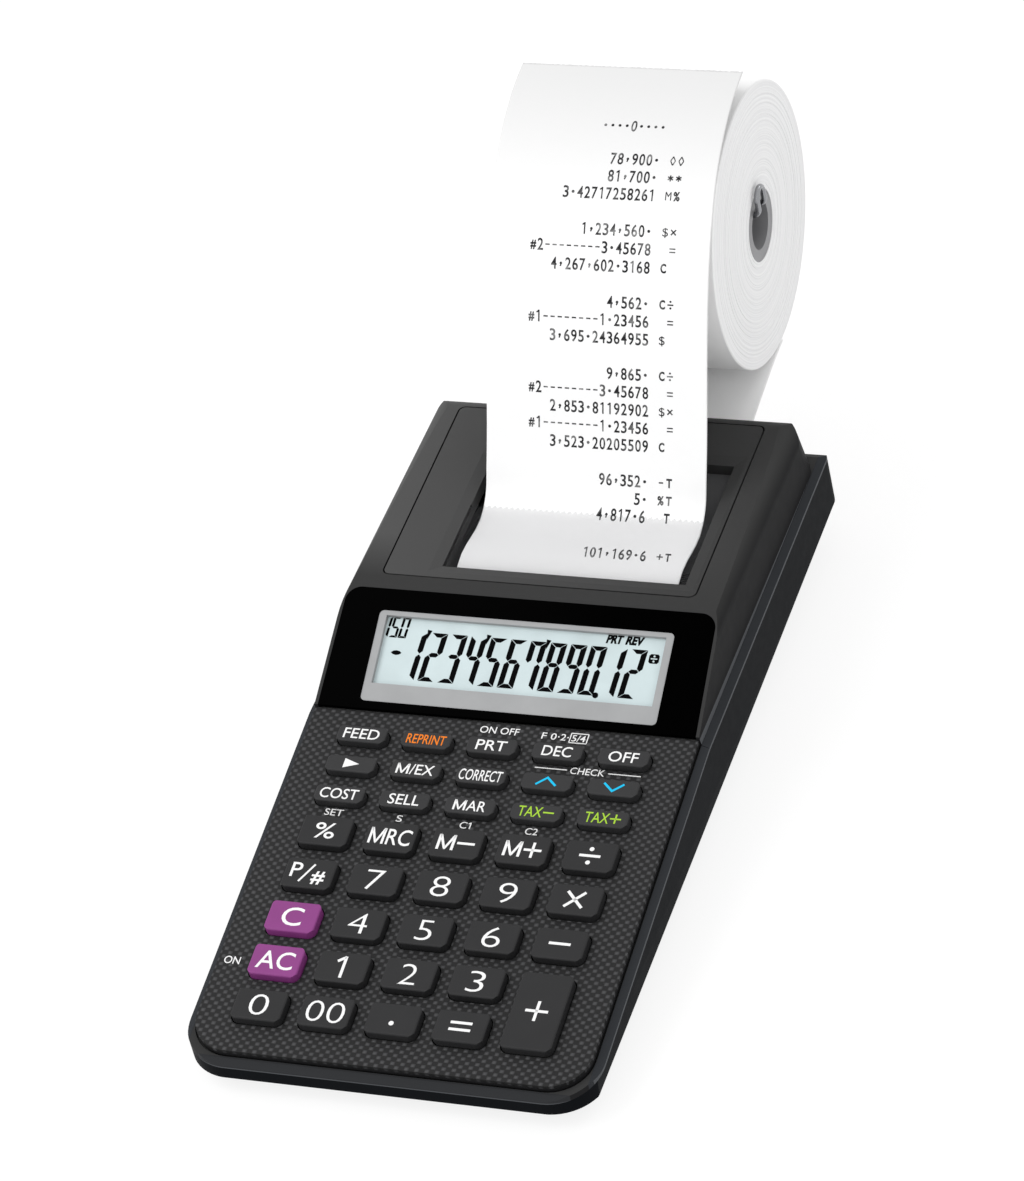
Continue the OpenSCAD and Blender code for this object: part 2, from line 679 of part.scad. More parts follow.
module key_cap(key) {
    l = length_of(key);
    foot = deck_under + key_gap + collar_t / 2;
    intersection() {
        translate([0, 0, -foot]) linear_extrude(foot + key_h) key_outline(key, 0);
        translate([column_x(key[1]), 0, 0]) along(0, deck_l + key_l) rounded([
            [-key_w / 2, -foot], [key_w / 2, -foot], [key_w / 2, 0], [key_w / 2 - key_draft, key_h],
            [key_draft - key_w / 2, key_h], [-key_w / 2, 0]], [0, 0, 0, key_edge_r, key_edge_r, 0]);
        translate([0, row_y(key[2]), 0]) across(far) rounded([
            [-l / 2, -foot], [l / 2, -foot], [l / 2, 0], [l / 2 - key_draft, key_h],
            [key_draft - l / 2, key_h], [-l / 2, 0]], [0, 0, 0, key_edge_r, key_edge_r, 0]);
    }
}
module key(key) on_deck() {
    key_cap(key);
    translate([0, 0, -collar_under]) linear_extrude(collar_t) key_outline(key, key_lip);
}
function is_clear(k) = k[0] == "key_clear" || k[0] == "key_all_clear";
module painted_key(k) color(is_clear(k) ? [0.5, 0.2, 0.47] : [0.17, 0.17, 0.18]) key(k);

dome_r = 1.9;
board_side = 7;
board_from = 9.5;
board_to = 5;
module board_plan(grow) slab(deck_w - 2 * board_side + 2 * grow, board_from - grow,
    deck_l - board_to + grow, 4, 2);
module keypad_membrane() color([0.75, 0.75, 0.72]) on_deck() {
    translate([0, 0, -sheet_under]) linear_extrude(sheet_t) board_plan(-1);
    for (k = KEYS) translate([place_of(k)[0], place_of(k)[1], -sheet_top])
        rotate_extrude() polygon([[0, -sheet_t / 2], [dome_r, -sheet_t / 2], [dome_r, 0],
            [dome_r - 0.5, sheet_top - dome_top], [0, sheet_top - dome_top]]);
}
post_r = 1.6;
post_places = [for (x = [-1, 1], s = [board_from + 2.2, deck_l - board_to - 2.2])
    [x * (deck_w / 2 - board_side - 1.8), s]];
module circuit_board() color("DarkGreen") on_deck()
    translate([0, 0, -sheet_under - board_t]) linear_extrude(board_t) board_plan(0);

// ---- display ----
module display_plan(t, front) {
    low = housing_half(deck_end_z + display_step) - bezel_margin - t;
    high = housing_half(display_z) - bezel_margin - t;
    r = bezel_corner_r - t;
    rounded([[-low, front], [low, front], [high, display_l - bezel_margin - t],
        [-high, display_l - bezel_margin - t]], [0, 0, r, r]);
}
module frame_plan(t) translate([0, frame_from + frame_l / 2]) {
    w = frame_w / 2 + t;
    l = frame_l / 2 + t;
    rounded([[-w, -l], [w, -l], [w, l], [-w, l]], [1.2, 1.2, 1.2, 1.2]);
}
module display_recess() {
    translate([0, 0, -bezel_t]) linear_extrude(far) display_plan(0, -1);
    translate([0, 0, -far / 16]) linear_extrude(far / 16) frame_plan(skin);
}
module display_bezel() color([0.02, 0.02, 0.02]) on_display() difference() {
    translate([0, 0, -bezel_t]) linear_extrude(bezel_t) display_plan(0.1, 0);
    translate([0, 0, -bezel_t - 1]) linear_extrude(bezel_t + 2) frame_plan(0.1);
}
lcd_t = 2.4;
frame_t = 1.2;
cell_middle = frame_from + frame_band + cell_l / 2;
module lcd_frame() color("Silver") on_display() difference() {
    translate([0, 0, -frame_t - 0.2]) linear_extrude(frame_t) frame_plan(0);
    translate([-cell_w / 2, cell_middle - cell_l / 2, -5]) cube([cell_w, cell_l, 9]);
}
module lcd_panel() color([0.84, 0.88, 0.89]) on_display()
    translate([-cell_w / 2 - 1.2, cell_middle - cell_l / 2 - 1.2, -frame_t - 0.2 - lcd_t])
        cube([cell_w + 2.4, cell_l + 2, lcd_t]);

// ---- printer cover and tear bar ----
opening_x = paper_x - opening_w / 2;
module bevelled(from, to) polygon([[from, -bevel_d], [to, -bevel_d],
    [to + 2 * bevel_w, bevel_d], [from - 2 * bevel_w, bevel_d]]);
module printer_cover() color([0.22, 0.22, 0.22]) on_roof() difference() {
    union() {
        translate([0, 0, -cover_t]) linear_extrude(cover_t) cover_outline(0);
        // skirt that locates the cover inside its shelf
        difference() {
            translate([-cover_w / 2 + cover_shelf + skin, cover_shelf + skin, -cover_t - 3])
                cube([cover_w - 2 * (cover_shelf + skin), cover_l - 2 * (cover_shelf + skin), 3.2]);
            translate([-cover_w / 2 + cover_shelf + skin + 1.4, cover_shelf + skin + 1.4, -far / 2])
                cube([cover_w - 2 * (cover_shelf + skin) - 2.8,
                    cover_l - 2 * (cover_shelf + skin) - 2.8, far]);
        }
        // walls round the paper opening
        translate([opening_x - 1.4, opening_from - 1.4, -cover_t - 2.4])
            cube([opening_w + 2.8, opening_l + 2.8, 2.6]);
    }
    translate([opening_x, opening_from, -far / 2]) cube([opening_w, opening_l, far]);
    // bevel round the opening
    intersection() {
        along(-far, far) bevelled(opening_x, opening_x + opening_w);
        across(far) bevelled(opening_from, opening_from + opening_l);
    }
    // seat of the tear bar
    translate([opening_x - bar_side, opening_from - bar_side, -cover_t - bar_drop])
        cube([opening_w + 2 * bar_side, bar_l + bar_side, bar_t + 0.02]);
}
bar_side = 1;
bar_drop = 0.2;
tooth_h = 0.9;
module paper_cutter() color([0.8, 0.85, 0.88, 0.4]) on_roof()
    translate([opening_x, opening_from, -cover_t - bar_drop]) linear_extrude(bar_t) {
        teeth = floor(opening_w / tooth_pitch) - 1;
        tooth_x = (opening_w + teeth * tooth_pitch) / 2;
        root_y = bar_l - tooth_h;
        polygon(concat([[-bar_side, -bar_side], [opening_w + bar_side, -bar_side],
            [opening_w + bar_side, root_y]],
            [for (i = [0:teeth - 1]) each [[tooth_x - i * tooth_pitch, root_y],
                [tooth_x - (i + 0.5) * tooth_pitch, bar_l]]],
            [[tooth_x - teeth * tooth_pitch, root_y], [-bar_side, root_y]]));
    }

// ---- paper ----
// The strip runs from the roll's underside through the rear slot, under and round the
// feed roller, up beneath the tear bar, and leans back over the roll.
path_r = feed_r + roll_gap + paper_t / 2;
turn_r = 3.2;
front_y = feed_y - path_r;
under_bar_z = cover_z - cover_t - bar_drop - paper_t / 2 - 0.3;
web_start = [roll_y, roll_h - roll_r - roll_gap - paper_t / 2];
web_slot = [slot_y, slot_z];
web_end = [feed_y, feed_z - path_r];
exit_start = [bar_end_y + 3.6, under_bar_z + 2.5];
strip_end = [roll_y + strip_reach, roll_h + roll_r + strip_rise];
web = [web_start, web_start - [10, 0], web_slot + [8, 1], web_slot];
chute = [web_slot, web_slot - [12, 1.5], web_end + [24, 0], web_end];
// Where the strip comes nearest to the roll, and its slopes there and at both ends
pass_at = 132;
pass_point = [roll_y, roll_h] + (roll_r + strip_gap + paper_t / 2) * heading(pass_at);
exit_slope = 53;
end_slope = 4;
// A smooth curve that leaves and arrives at given slopes
function arc_between(a, slope_a, b, slope_b) = let (reach = 0.34 * norm(b - a))
    [a, a + reach * heading(slope_a), b - reach * heading(slope_b), b];
lower_curl = arc_between(exit_start, exit_slope, pass_point, pass_at - 90);
upper_curl = arc_between(pass_point, pass_at - 90, strip_end, end_slope);
strip_path = concat(
    [for (t = [0:0.2:0.99]) bezier(web, t)],
    [for (t = [0:0.1:0.99]) bezier(chute, t)],
    [for (a = [270:-15:180]) [feed_y, feed_z] + path_r * heading(a)],
    [for (a = [180:-15:95]) [front_y + turn_r, under_bar_z - turn_r] + turn_r * heading(a)],
    [[bar_end_y + 0.6, under_bar_z + (bar_l - turn_r) * tan(roof_tilt)]],
    [for (t = [0:0.1:0.99]) bezier(lower_curl, t)],
    [for (t = [0:1 / 6:1.001]) bezier(upper_curl, t)]);
function side_of(pts, i) = let (n = len(pts),
    d = unit(pts[min(i + 1, n - 1)] - pts[max(i - 1, 0)])) [-d[1], d[0]];
module paper_strip() color("White") in_case() across(paper_w, paper_x)
    polygon(concat(
        [for (i = [0:len(strip_path) - 1]) strip_path[i] + paper_t / 2 * side_of(strip_path, i)],
        [for (i = [len(strip_path) - 1:-1:0]) strip_path[i] - paper_t / 2 * side_of(strip_path, i)]));

module at_roll() in_case() translate([paper_x - paper_w / 2, roll_y, roll_h])
    rotate([90, 0, 90]) children();
module paper_roll() color("White") at_roll() difference() {
    cylinder(r = roll_r, h = paper_w, $fn = 96);
    translate([0, 0, -1]) cylinder(r = core_r + 0.02, h = paper_w + 2);
}
module roll_core() color([0.55, 0.55, 0.56]) at_roll() difference() {
    translate([0, 0, 0.2]) cylinder(r = core_r, h = paper_w - 0.4);
    translate([0, 0, -1]) cylinder(r = core_bore_r, h = paper_w + 2);
}

// ---- wire holder ----
axle_z = roll_h + sqrt(pow(core_bore_r, 2) - pow(leg_gap / 2, 2)) - wire_d / 2 - 0.25;
hook_x = paper_x + paper_w / 2 + wire_side_gap + wire_d / 2;
leg_r = wire_d / 2;
module rod(p, l, turn) translate(p) rotate(turn) cylinder(r = leg_r, h = l);
// A quarter bend round the origin's Z axis, from the +X side to the +Y side
module quarter(p, turn) translate(p) rotate(turn) rotate_extrude(angle = 90)
    translate([wire_bend, 0]) circle(r = leg_r);
module leg(y, socket_z) {
    rod([wire_x + wire_bend, y, axle_z], hook_x - wire_bend - wire_x - wire_bend, [0, 90, 0]);
    quarter([hook_x - wire_bend, y, axle_z + wire_bend], [-90, 0, 0]);
    rod([hook_x, y, axle_z + wire_bend], hook_h - wire_bend - leg_gap / 2, [0, 0, 0]);
    quarter([wire_x + wire_bend, y, axle_z - wire_bend], [90, -90, 0]);
    rod([wire_x, y, socket_z + wire_bend], axle_z - socket_z - 2 * wire_bend, [0, 0, 0]);
    quarter([wire_x, y - wire_bend, socket_z + wire_bend], [0, 90, 0]);
    rod([wire_x, y - wire_bend, socket_z],
        y - wire_bend - (housing_rear_y - socket_l + 0.5), [90, 0, 0]);
}
module paper_holder() color("Silver") in_case() {
    leg(roll_y - leg_gap / 2, socket_high_z);
    leg(roll_y + leg_gap / 2, socket_low_z);
    translate([hook_x, roll_y, axle_z + hook_h - leg_gap / 2]) rotate([90, 0, 90])
        rotate_extrude(angle = 180) translate([leg_gap / 2, 0]) circle(r = leg_r);
}

// ---- printer ----
plate_x0 = paper_x - paper_w / 2 - plate_side;
plate_x1 = paper_x + paper_w / 2 + plate_side;
rod_y = front_y - 6.2;
rod_z = feed_z + 1;
base_z = floor_z + cell_d + 1.2;
base_t = 1.4;
frame_y0 = rod_y - 3;
frame_y1 = housing_rear_y - wall / 2 - socket_l - 1;
ramp_drop = 4.2;
module printer_frame() color([0.35, 0.35, 0.36]) in_case() difference() {
    union() {
        // base plate and side plates
        translate([plate_x0 - plate_t, frame_y0, base_z])
            cube([plate_x1 - plate_x0 + 2 * plate_t, frame_y1 - frame_y0, base_t]);
        for (x = [plate_x0 - plate_t, plate_x1]) translate([x, 0, 0]) rotate([90, 0, 90])
            linear_extrude(plate_t) rounded([[frame_y0, base_z], [frame_y1, base_z],
                [frame_y1, base_z + 7], [feed_y + 8, feed_z + 5.5], [frame_y0, feed_z + 5.5]],
                [0, 0, 2, 2, 2]);
        // guide rod of the carriage
        translate([plate_x0 - plate_t, rod_y, rod_z]) rotate([0, 90, 0])
            cylinder(r = rod_r, h = plate_x1 - plate_x0 + 2 * plate_t);
        // ramp behind the paper exit, between two cheeks
        across(ramp_w, paper_x)
            polygon(concat(ramp_line, [for (i = [2:-1:0]) ramp_line[i] - [0, ramp_t]]));
        for (side = [-1, 1]) across(plate_t, paper_x + side * (ramp_w - plate_t) / 2)
            polygon(concat([[ramp_line[2][0], base_z], [ramp_line[0][0], base_z]], ramp_line));
    }
    translate([plate_x0 - far / 4, feed_y, feed_z]) rotate([0, 90, 0])
        cylinder(r = feed_shaft_r + run_gap, h = far);
}
ramp_t = 1.2;
ramp_w = opening_w - 0.6;
ramp_z = cover_z - cover_t - ramp_drop;
ramp_line = [[feed_y + 5, ramp_z - 2], [bar_end_y + 2, ramp_z],
    [opening_end_y - 0.4, ramp_z + ramp_drop - 0.4]];

module feed_roller() color([0.25, 0.25, 0.26]) in_case()
    translate([plate_x0 - plate_t - 1.5, feed_y, feed_z]) rotate([0, 90, 0]) {
        cylinder(r = feed_shaft_r, h = plate_x1 - plate_x0 + 2 * plate_t + 3);
        translate([0, 0, plate_t + 1.5 + plate_side]) cylinder(r = feed_r, h = paper_w);
        translate([0, 0, plate_x1 - plate_x0 + 2 * plate_t + 1.9]) cylinder(r = 5, h = 1.4);
    }

carriage_x = plate_x0 + 0.4;
wheel_r = 3.4;
module print_carriage() color([0.8, 0.8, 0.78]) in_case()
    translate([carriage_x, rod_y, rod_z]) rotate([0, 90, 0]) difference() {
        union() {
            cylinder(r = rod_r + 1.4, h = carriage_w);
            translate([-4.5, -2.6, 0]) cube([9, 5, carriage_w]);
            translate([0, front_y - paper_t / 2 - 0.5 - wheel_r - rod_y, 2])
                cylinder(r = wheel_r, h = carriage_w - 4);
        }
        translate([0, 0, -1]) cylinder(r = rod_r + run_gap, h = carriage_w + 2);
    }

// ---- power ----
battery_z = door_seat_z + 0.6 + cell_d / 2;
module batteries() color([0.7, 0.62, 0.3]) in_case()
    for (i = [0:3]) translate([(i - 1.5) * cell_pitch, bay_y + bay_l / 2, battery_z])
        rotate([i % 2 == 0 ? -90 : 90, 0, 0]) translate([0, 0, -battery_l / 2]) {
            cylinder(r = cell_d / 2, h = battery_l - 1);
            cylinder(r = 2.7, h = battery_l);
        }

module battery_cover() color([0.18, 0.18, 0.18]) in_case() {
    difference() {
        translate([-door_w / 2, door_y, ground_gap]) cube([door_w, door_l, door_t]);
        for (i = [0:4]) translate([-9, door_y + 6 + 2 * i, ground_gap - 1]) cube([18, 1, 1.5]);
    }
    for (side = [-1, 1], y = lip_places) {
        x0 = bay_w / 2 - door_gap - 1;
        translate([side > 0 ? x0 : -x0 - 1, bay_y + y, ground_gap + door_t / 2])
            cube([1, lip_l, ring_top + 0.3 + 0.8 - ground_gap - door_t / 2]);
        translate([side > 0 ? x0 : -x0 - 1 - lip_reach - door_gap, bay_y + y, ring_top + 0.3])
            cube([1 + lip_reach + door_gap, lip_l, 0.8]);
    }
}

lower_case();
upper_case();
keyboard_panel();
display_bezel();
lcd_frame();
lcd_panel();
printer_cover();
paper_cutter();
keypad_membrane();
circuit_board();
printer_frame();
feed_roller();
print_carriage();
paper_roll();
roll_core();
paper_strip();
paper_holder();
battery_cover();
batteries();
rubber_feet();
case_screws();
for (k = KEYS) painted_key(k);
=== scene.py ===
"""Looks of a printing desk calculator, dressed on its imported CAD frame.

Places are read from the frame. Sizes of what is added are in millimetres."""
import json
import math
import random

import bmesh
import bpy
from mathutils import Matrix, Vector

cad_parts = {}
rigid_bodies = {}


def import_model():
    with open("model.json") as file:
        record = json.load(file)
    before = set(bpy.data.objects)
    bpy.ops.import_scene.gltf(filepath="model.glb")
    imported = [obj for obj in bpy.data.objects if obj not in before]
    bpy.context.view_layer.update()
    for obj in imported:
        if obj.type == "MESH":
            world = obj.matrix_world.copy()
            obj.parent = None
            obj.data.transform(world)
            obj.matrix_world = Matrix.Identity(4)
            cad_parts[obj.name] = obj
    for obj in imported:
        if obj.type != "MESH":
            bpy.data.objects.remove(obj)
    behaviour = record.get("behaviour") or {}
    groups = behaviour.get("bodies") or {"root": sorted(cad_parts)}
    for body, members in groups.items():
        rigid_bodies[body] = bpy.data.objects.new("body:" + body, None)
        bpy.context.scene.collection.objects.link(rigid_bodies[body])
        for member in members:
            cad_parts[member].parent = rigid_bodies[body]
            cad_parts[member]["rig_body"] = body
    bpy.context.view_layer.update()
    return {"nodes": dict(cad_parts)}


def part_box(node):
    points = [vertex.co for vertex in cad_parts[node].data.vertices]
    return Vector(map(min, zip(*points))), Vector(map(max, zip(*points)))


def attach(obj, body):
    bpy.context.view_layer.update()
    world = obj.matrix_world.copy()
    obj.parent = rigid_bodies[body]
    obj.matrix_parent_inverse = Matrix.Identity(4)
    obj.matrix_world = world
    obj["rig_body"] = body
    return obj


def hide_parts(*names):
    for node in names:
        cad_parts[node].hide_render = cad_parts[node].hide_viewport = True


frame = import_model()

MM = 0.001  # metres
random.seed(7)

# ---- camera, solved from the regular grid of the keys, in metres and degrees ----
CAMERA_AT = Vector((0.445417, -0.873963, 0.858691))
CAMERA_HEADING = 117.3492  # of the line of sight, counted from the x axis
CAMERA_DIP = 39.8202  # of the line of sight below the horizon
CAMERA_ROLL = -13.842  # of the picture's right side above level
CAMERA_LENS = 187.17
SENSOR = 36.0

# ---- floor and light ----
WORLD_LIGHT = 0.88
FLOOR_HALF = 3.0  # metres
FLOOR_LIT = 0.8  # how pale the floor is for the light that it throws back
FLOOR_SEEN = 0.2  # how pale it is for the camera, before its glow
FLOOR_GLOW = 0.83
# a lamp's name, its place, the point that it faces, its width in metres and its watts
LAMPS = (
    ("key_lamp", (-0.7, -0.25, 1.0), (0, 0, 0.03), 0.8, 5.0),
    ("back_lamp", (0.5, 0.9, 0.8), (0, 0, 0.03), 0.5, 1.5),
    ("front_lamp", (-0.3, -1.2, 0.35), (0, 0, 0.05), 1.0, 1.3))

# ---- textures ----
CLOUD = 9.0  # size of the slow changes on every moulding
CLOUD_SPREAD = 0.12
ROUGH_SPREAD = 0.05
PANEL_BUMP_X = 1.25  # from one bump of the panel to the next row's, across and along
PANEL_BUMP_Y = 1.1
BESIDE_PANEL = 0.3  # the rim starts this far outside the panel
RIM_HIGHLIGHT = 0.35  # height of the painted highlight along the rim's lowest edge
PAPER_SHADE = 18.0  # how far down the strip the painted shade of its torn end reaches
ROLL_SHADE = 8.0  # how far down the roll the painted shade on its top reaches
HAZE = 0.035  # the clear plastic's own colour, as a share of what is seen

# ---- printed marks ----
INK_T = 0.03
INK_LIFT = 0.015  # of a mark's middle above the face that it lies on
CAP_SHARE = 0.7  # height of a capital, as a share of the size of its type
LETTER_WEIGHT = 0.004  # how far the outlines of the letters are moved out
DIGIT_WEIGHT = -0.014

# ---- paper ----
PAPER_T = 0.14
SHEET_COLUMNS = 152
TOOTH = 1.5  # pitch of the tear bar's teeth
TOOTH_SLOPE = 0.3  # depth of a tooth for a whole pitch
TEAR_INSET = 0.12  # of the teeth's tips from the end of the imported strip
TEAR_ROUGH = 0.12  # how uneven the torn edge is
ROLL_RINGS, ROLL_TURNS = 46, 160
WINDING_STEP = (0.02, 0.16)  # how far the windings' edges lie inside the roll's faces
CORE_PLAY = 0.02  # between the core and the paper
BORE_BEVEL = 0.3
ROLL_ROUND = ((0.25, 0.1), (0.0, 0.35))  # its outer edge: in from the radius, in from the face
ROLL_EDGE_ANGLE = 30  # the roll is shaded smooth over edges blunter than this, in degrees


# ---------------------------------------------------------------- shaders
def srgb(r, g, b):
    """A colour written as 0-255 values, in the linear values that a shader takes."""
    linear = [((c / 255 + 0.055) / 1.055) ** 2.4 if c > 10 else c / 255 / 12.92 for c in (r, g, b)]
    return linear + [1]


def grey(level):
    return srgb(level, level, level)


def shade(colour, share):
    return [c * share for c in colour[:3]] + [1]


class Shader:
    """A Principled material and short ways to add nodes to it."""

    def __init__(self, name, colour, roughness, specular, **sockets):
        self.material = bpy.data.materials.new(name)
        self.material.use_nodes = True
        self.tree = self.material.node_tree
        self.bsdf = self.tree.nodes["Principled BSDF"]
        self.colour = colour
        self.roughness = roughness
        self.set("Base Color", colour)
        self.set("Roughness", roughness)
        self.set("Specular IOR Level", specular)
        for socket, value in sockets.items():
            self.set(socket.replace("_", " "), value)
        self.place = self.node("ShaderNodeTexCoord").outputs["Object"]

    def set(self, socket, value):
        if isinstance(value, bpy.types.NodeSocket):
            self.tree.links.new(value, self.bsdf.inputs[socket])
        else:
            self.bsdf.inputs[socket].default_value = value

    def node(self, kind, inputs=None, **settings):
        made = self.tree.nodes.new(kind)
        for key, value in settings.items():
            setattr(made, key, value)
        for key, value in (inputs or {}).items():
            if isinstance(value, bpy.types.NodeSocket):
                self.tree.links.new(value, made.inputs[key])
            else:
                made.inputs[key].default_value = value
        return made

    def parts(self, vector=None):
        """The x, y and z of the place on the piece, or of another vector."""
        return self.node("ShaderNodeSeparateXYZ", {0: vector or self.place}).outputs

    def math(self, operation, a, b=0.0):
        return self.node("ShaderNodeMath", {0: a, 1: b}, operation=operation).outputs[0]

    def noise(self, feature_mm, detail=2.0, place=None):
        """Soft noise whose features have about this size."""
        return self.node("ShaderNodeTexNoise", {
            "Vector": place or self.place, "Scale": 1 / (feature_mm * MM), "Detail": detail,
        }).outputs["Fac"]

    def span(self, value, low, high, start=0.0, end=1.0):
        """Maps a value from start..end to low..high."""
        return self.node("ShaderNodeMapRange", {
            "Value": value, "From Min": start, "From Max": end, "To Min": low, "To Max": high,
        }).outputs[0]

    def mix(self, factor, a, b):
        made = self.node("ShaderNodeMix", {"Factor": factor}, data_type="RGBA")
        for socket, value in ((made.inputs[6], a), (made.inputs[7], b)):
            if isinstance(value, bpy.types.NodeSocket):
                self.tree.links.new(value, socket)
            else:
                socket.default_value = value
        return made.outputs[2]

    def ramp(self, value, start, end, a, b):
        """Colour a where the value is at start, which turns into b towards end."""
        return self.mix(self.span(value, 0, 1, start, end), a, b)

    def bump(self, height, depth_mm, normal=None):
        inputs = {"Height": height, "Distance": depth_mm * MM, "Strength": 1.0}
        if normal:
            inputs["Normal"] = normal
        return self.node("ShaderNodeBump", inputs).outputs[0]

    def vary_roughness(self):
        self.set("Roughness", self.span(self.noise(CLOUD / 3), self.roughness - ROUGH_SPREAD,
                                        self.roughness + ROUGH_SPREAD))

    def vary(self):
        """Slow cloudy changes of colour and roughness, as on any real moulding."""
        self.set("Base Color", self.mix(self.noise(CLOUD, 3.0), shade(self.colour, 1 - CLOUD_SPREAD),
                                        shade(self.colour, 1 + CLOUD_SPREAD)))
        self.vary_roughness()
        return self

    def grain(self, feature_mm=0.35, depth_mm=0.006):
        """The fine spark-eroded grain of moulded plastic."""
        self.set("Normal", self.bump(self.noise(feature_mm, 3.0), depth_mm))
        return self


def moulded(name, colour, roughness, specular=0.25, feature=0.35, depth=0.006, **sockets):
    """The material of a plain moulding, with cloudy changes and a grain whose features and
    depth are given in millimetres."""
    s = Shader(name, srgb(*colour), roughness, specular, **sockets)
    return s.vary().grain(feature, depth).material


def panel_shader():
    """Rows of small raised bumps, each row set half a step aside, with a painted highlight on their
    tops and painted shade in the hollows between them.
    """
    s = Shader("textured_panel", srgb(30, 30, 31), 0.5, 0.3)
    parts = s.parts()
    waves = [s.math("COSINE", s.math("MULTIPLY", parts[i], math.pi / (pitch * MM)))
             for i, pitch in ((0, PANEL_BUMP_X), (1, PANEL_BUMP_Y * DECK.s.y))]
    height = s.math("MAXIMUM", s.math("MULTIPLY", waves[0], waves[1]), 0.0)
    height = s.math("POWER", height, 0.7)
    height = s.math("MULTIPLY", height, s.span(s.noise(1.3), 0.75, 1.0))
    # painted light: the bumps' tops paler and the hollows between them darker
    s.set("Base Color", s.mix(height, srgb(13, 13, 14), srgb(68, 68, 70)))
    s.set("Roughness", s.span(height, 0.62, 0.42))
    s.set("Normal", s.bump(s.noise(0.25), 0.004, s.bump(height, 0.16)))
    return s.material


def cover_shader():
    """The roof's charcoal, which the light leaves darker towards the right."""
    s = Shader("cover_plastic", grey(60), 0.5, 0.03)
    low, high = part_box("printer_cover")
    s.set("Base Color", s.ramp(s.parts()[0], low.x, high.x, grey(76), grey(60)))
    s.vary_roughness()
    s.grain(0.3, 0.008)
    return s.material


def upper_shell_shader():
    """Neutral charcoal with painted shade down the side walls; the rim has the lower half's cooler
    colour.
    """
    s = Shader("upper_shell", grey(66), 0.5, 0.03)
    parts = s.parts()
    facing = s.parts(s.node("ShaderNodeNewGeometry").outputs["Normal"])
    cloud = s.noise(CLOUD, 3.0)
    low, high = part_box("keyboard_panel")
    # the housing: painted shade darkens its roof towards the right and in front of the cover
    roof = s.ramp(parts[0], -high.x, high.x, grey(82), grey(58))
    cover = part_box("printer_cover")[0].y
    roof = s.ramp(parts[1], cover - 1 * MM, cover + 14 * MM, grey(56), roof)
    # painted shade: faces that point sideways, the side walls, are darker than the roof
    shaded_walls = s.mix(cloud, srgb(30, 30, 31), srgb(36, 36, 37))
    body = s.ramp(facing[2], 0.3, 0.8, shaded_walls, roof)
    # the rim beside the panel: a painted highlight on its upright outer sides
    highlit_sides = s.math("GREATER_THAN", s.math("ABSOLUTE", facing[0]), 0.9)
    rim = s.mix(highlit_sides, s.mix(cloud, srgb(47, 49, 52), srgb(53, 55, 58)), srgb(84, 86, 89))
    # the rim before the panel: a painted highlight along its lowest edge
    lowest = min(v.co.z for v in frame["nodes"]["upper_case"].data.vertices if v.co.y < low.y)
    edge = s.math("LESS_THAN", parts[2], lowest + RIM_HIGHLIGHT * MM)
    before = s.math("LESS_THAN", parts[1], low.y - BESIDE_PANEL * MM)
    rim = s.mix(before, rim, s.mix(edge, srgb(48, 49, 51), srgb(76, 78, 81)))
    beside = s.math("GREATER_THAN", s.math("ABSOLUTE", parts[0]), high.x + BESIDE_PANEL * MM)
    s.set("Base Color", s.mix(s.math("MAXIMUM", beside, before), body, rim))
    s.vary_roughness()
    s.grain()
    return s.material


def paper_shader(name, white, end=None):
    """White paper, with painted shade that makes it a little greyer towards its torn end where an end
    colour is given.
    """
    s = Shader(name, grey(white), 0.75, 0.15)
    fibres = s.noise(0.12, 4.0)
    tone = s.mix(s.noise(4.0, 3.0), shade(s.colour, 0.975), s.colour)
    if end:
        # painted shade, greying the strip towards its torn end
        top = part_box("paper_strip")[1].z
        tone = s.ramp(s.parts()[2], top - PAPER_SHADE * MM, top, tone, grey(end))
    s.set("Base Color", tone)
    s.set("Normal", s.bump(fibres, 0.005))
    s.set("Roughness", s.span(fibres, 0.68, 0.82))
    return s


def roll_shader():
    """The wound edges of the paper: faint rings round the roll's axis, and painted shade towards the
    top of its outer face.
    """
    s = paper_shader("roll_edges", 250)
    low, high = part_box("paper_roll")
    middle = (low + high) / 2
    parts = s.parts()
    across = s.math("SUBTRACT", parts[1], middle.y)
    up = s.math("SUBTRACT", parts[2], middle.z)
    squares = s.math("ADD", s.math("MULTIPLY", across, across), s.math("MULTIPLY", up, up))
    radius = s.math("SQRT", squares)
    rings = s.noise(0.55, 4.0, s.node("ShaderNodeCombineXYZ", {0: radius}).outputs[0])
    edges = s.ramp(rings, 0.35, 0.65, srgb(234, 234, 235), grey(249))
    # painted shade: the roll's outer face greys towards its top
    shaded_top = s.ramp(parts[2], high.z - ROLL_SHADE * MM, high.z, grey(255), grey(228))
    rim = ROLL_ROUND[0][0] + 0.05
    outside = s.math("GREATER_THAN", radius, (high.z - low.z) / 2 - rim * MM)
    s.set("Base Color", s.mix(outside, edges, shaded_top))
    s.set("Normal", s.bump(rings, 0.12))
    return s.material


def clear_shader():
    """Clear plastic: nearly all of what is behind it, with a thin haze and a gloss."""
    s = Shader("clear_plastic", srgb(120, 121, 123), 0.12, 0.3)
    s.set("Roughness", s.span(s.noise(6.0), 0.06, 0.16))
    clear = s.node("ShaderNodeBsdfTransparent", {"Color": (0.95, 0.95, 0.952, 1)})
    blend = s.node("ShaderNodeMixShader", {"Fac": HAZE})
    s.tree.links.new(clear.outputs[0], blend.inputs[1])
    s.tree.links.new(s.bsdf.outputs[0], blend.inputs[2])
    s.tree.links.new(blend.outputs[0], s.tree.nodes["Material Output"].inputs["Surface"])
    return s.material


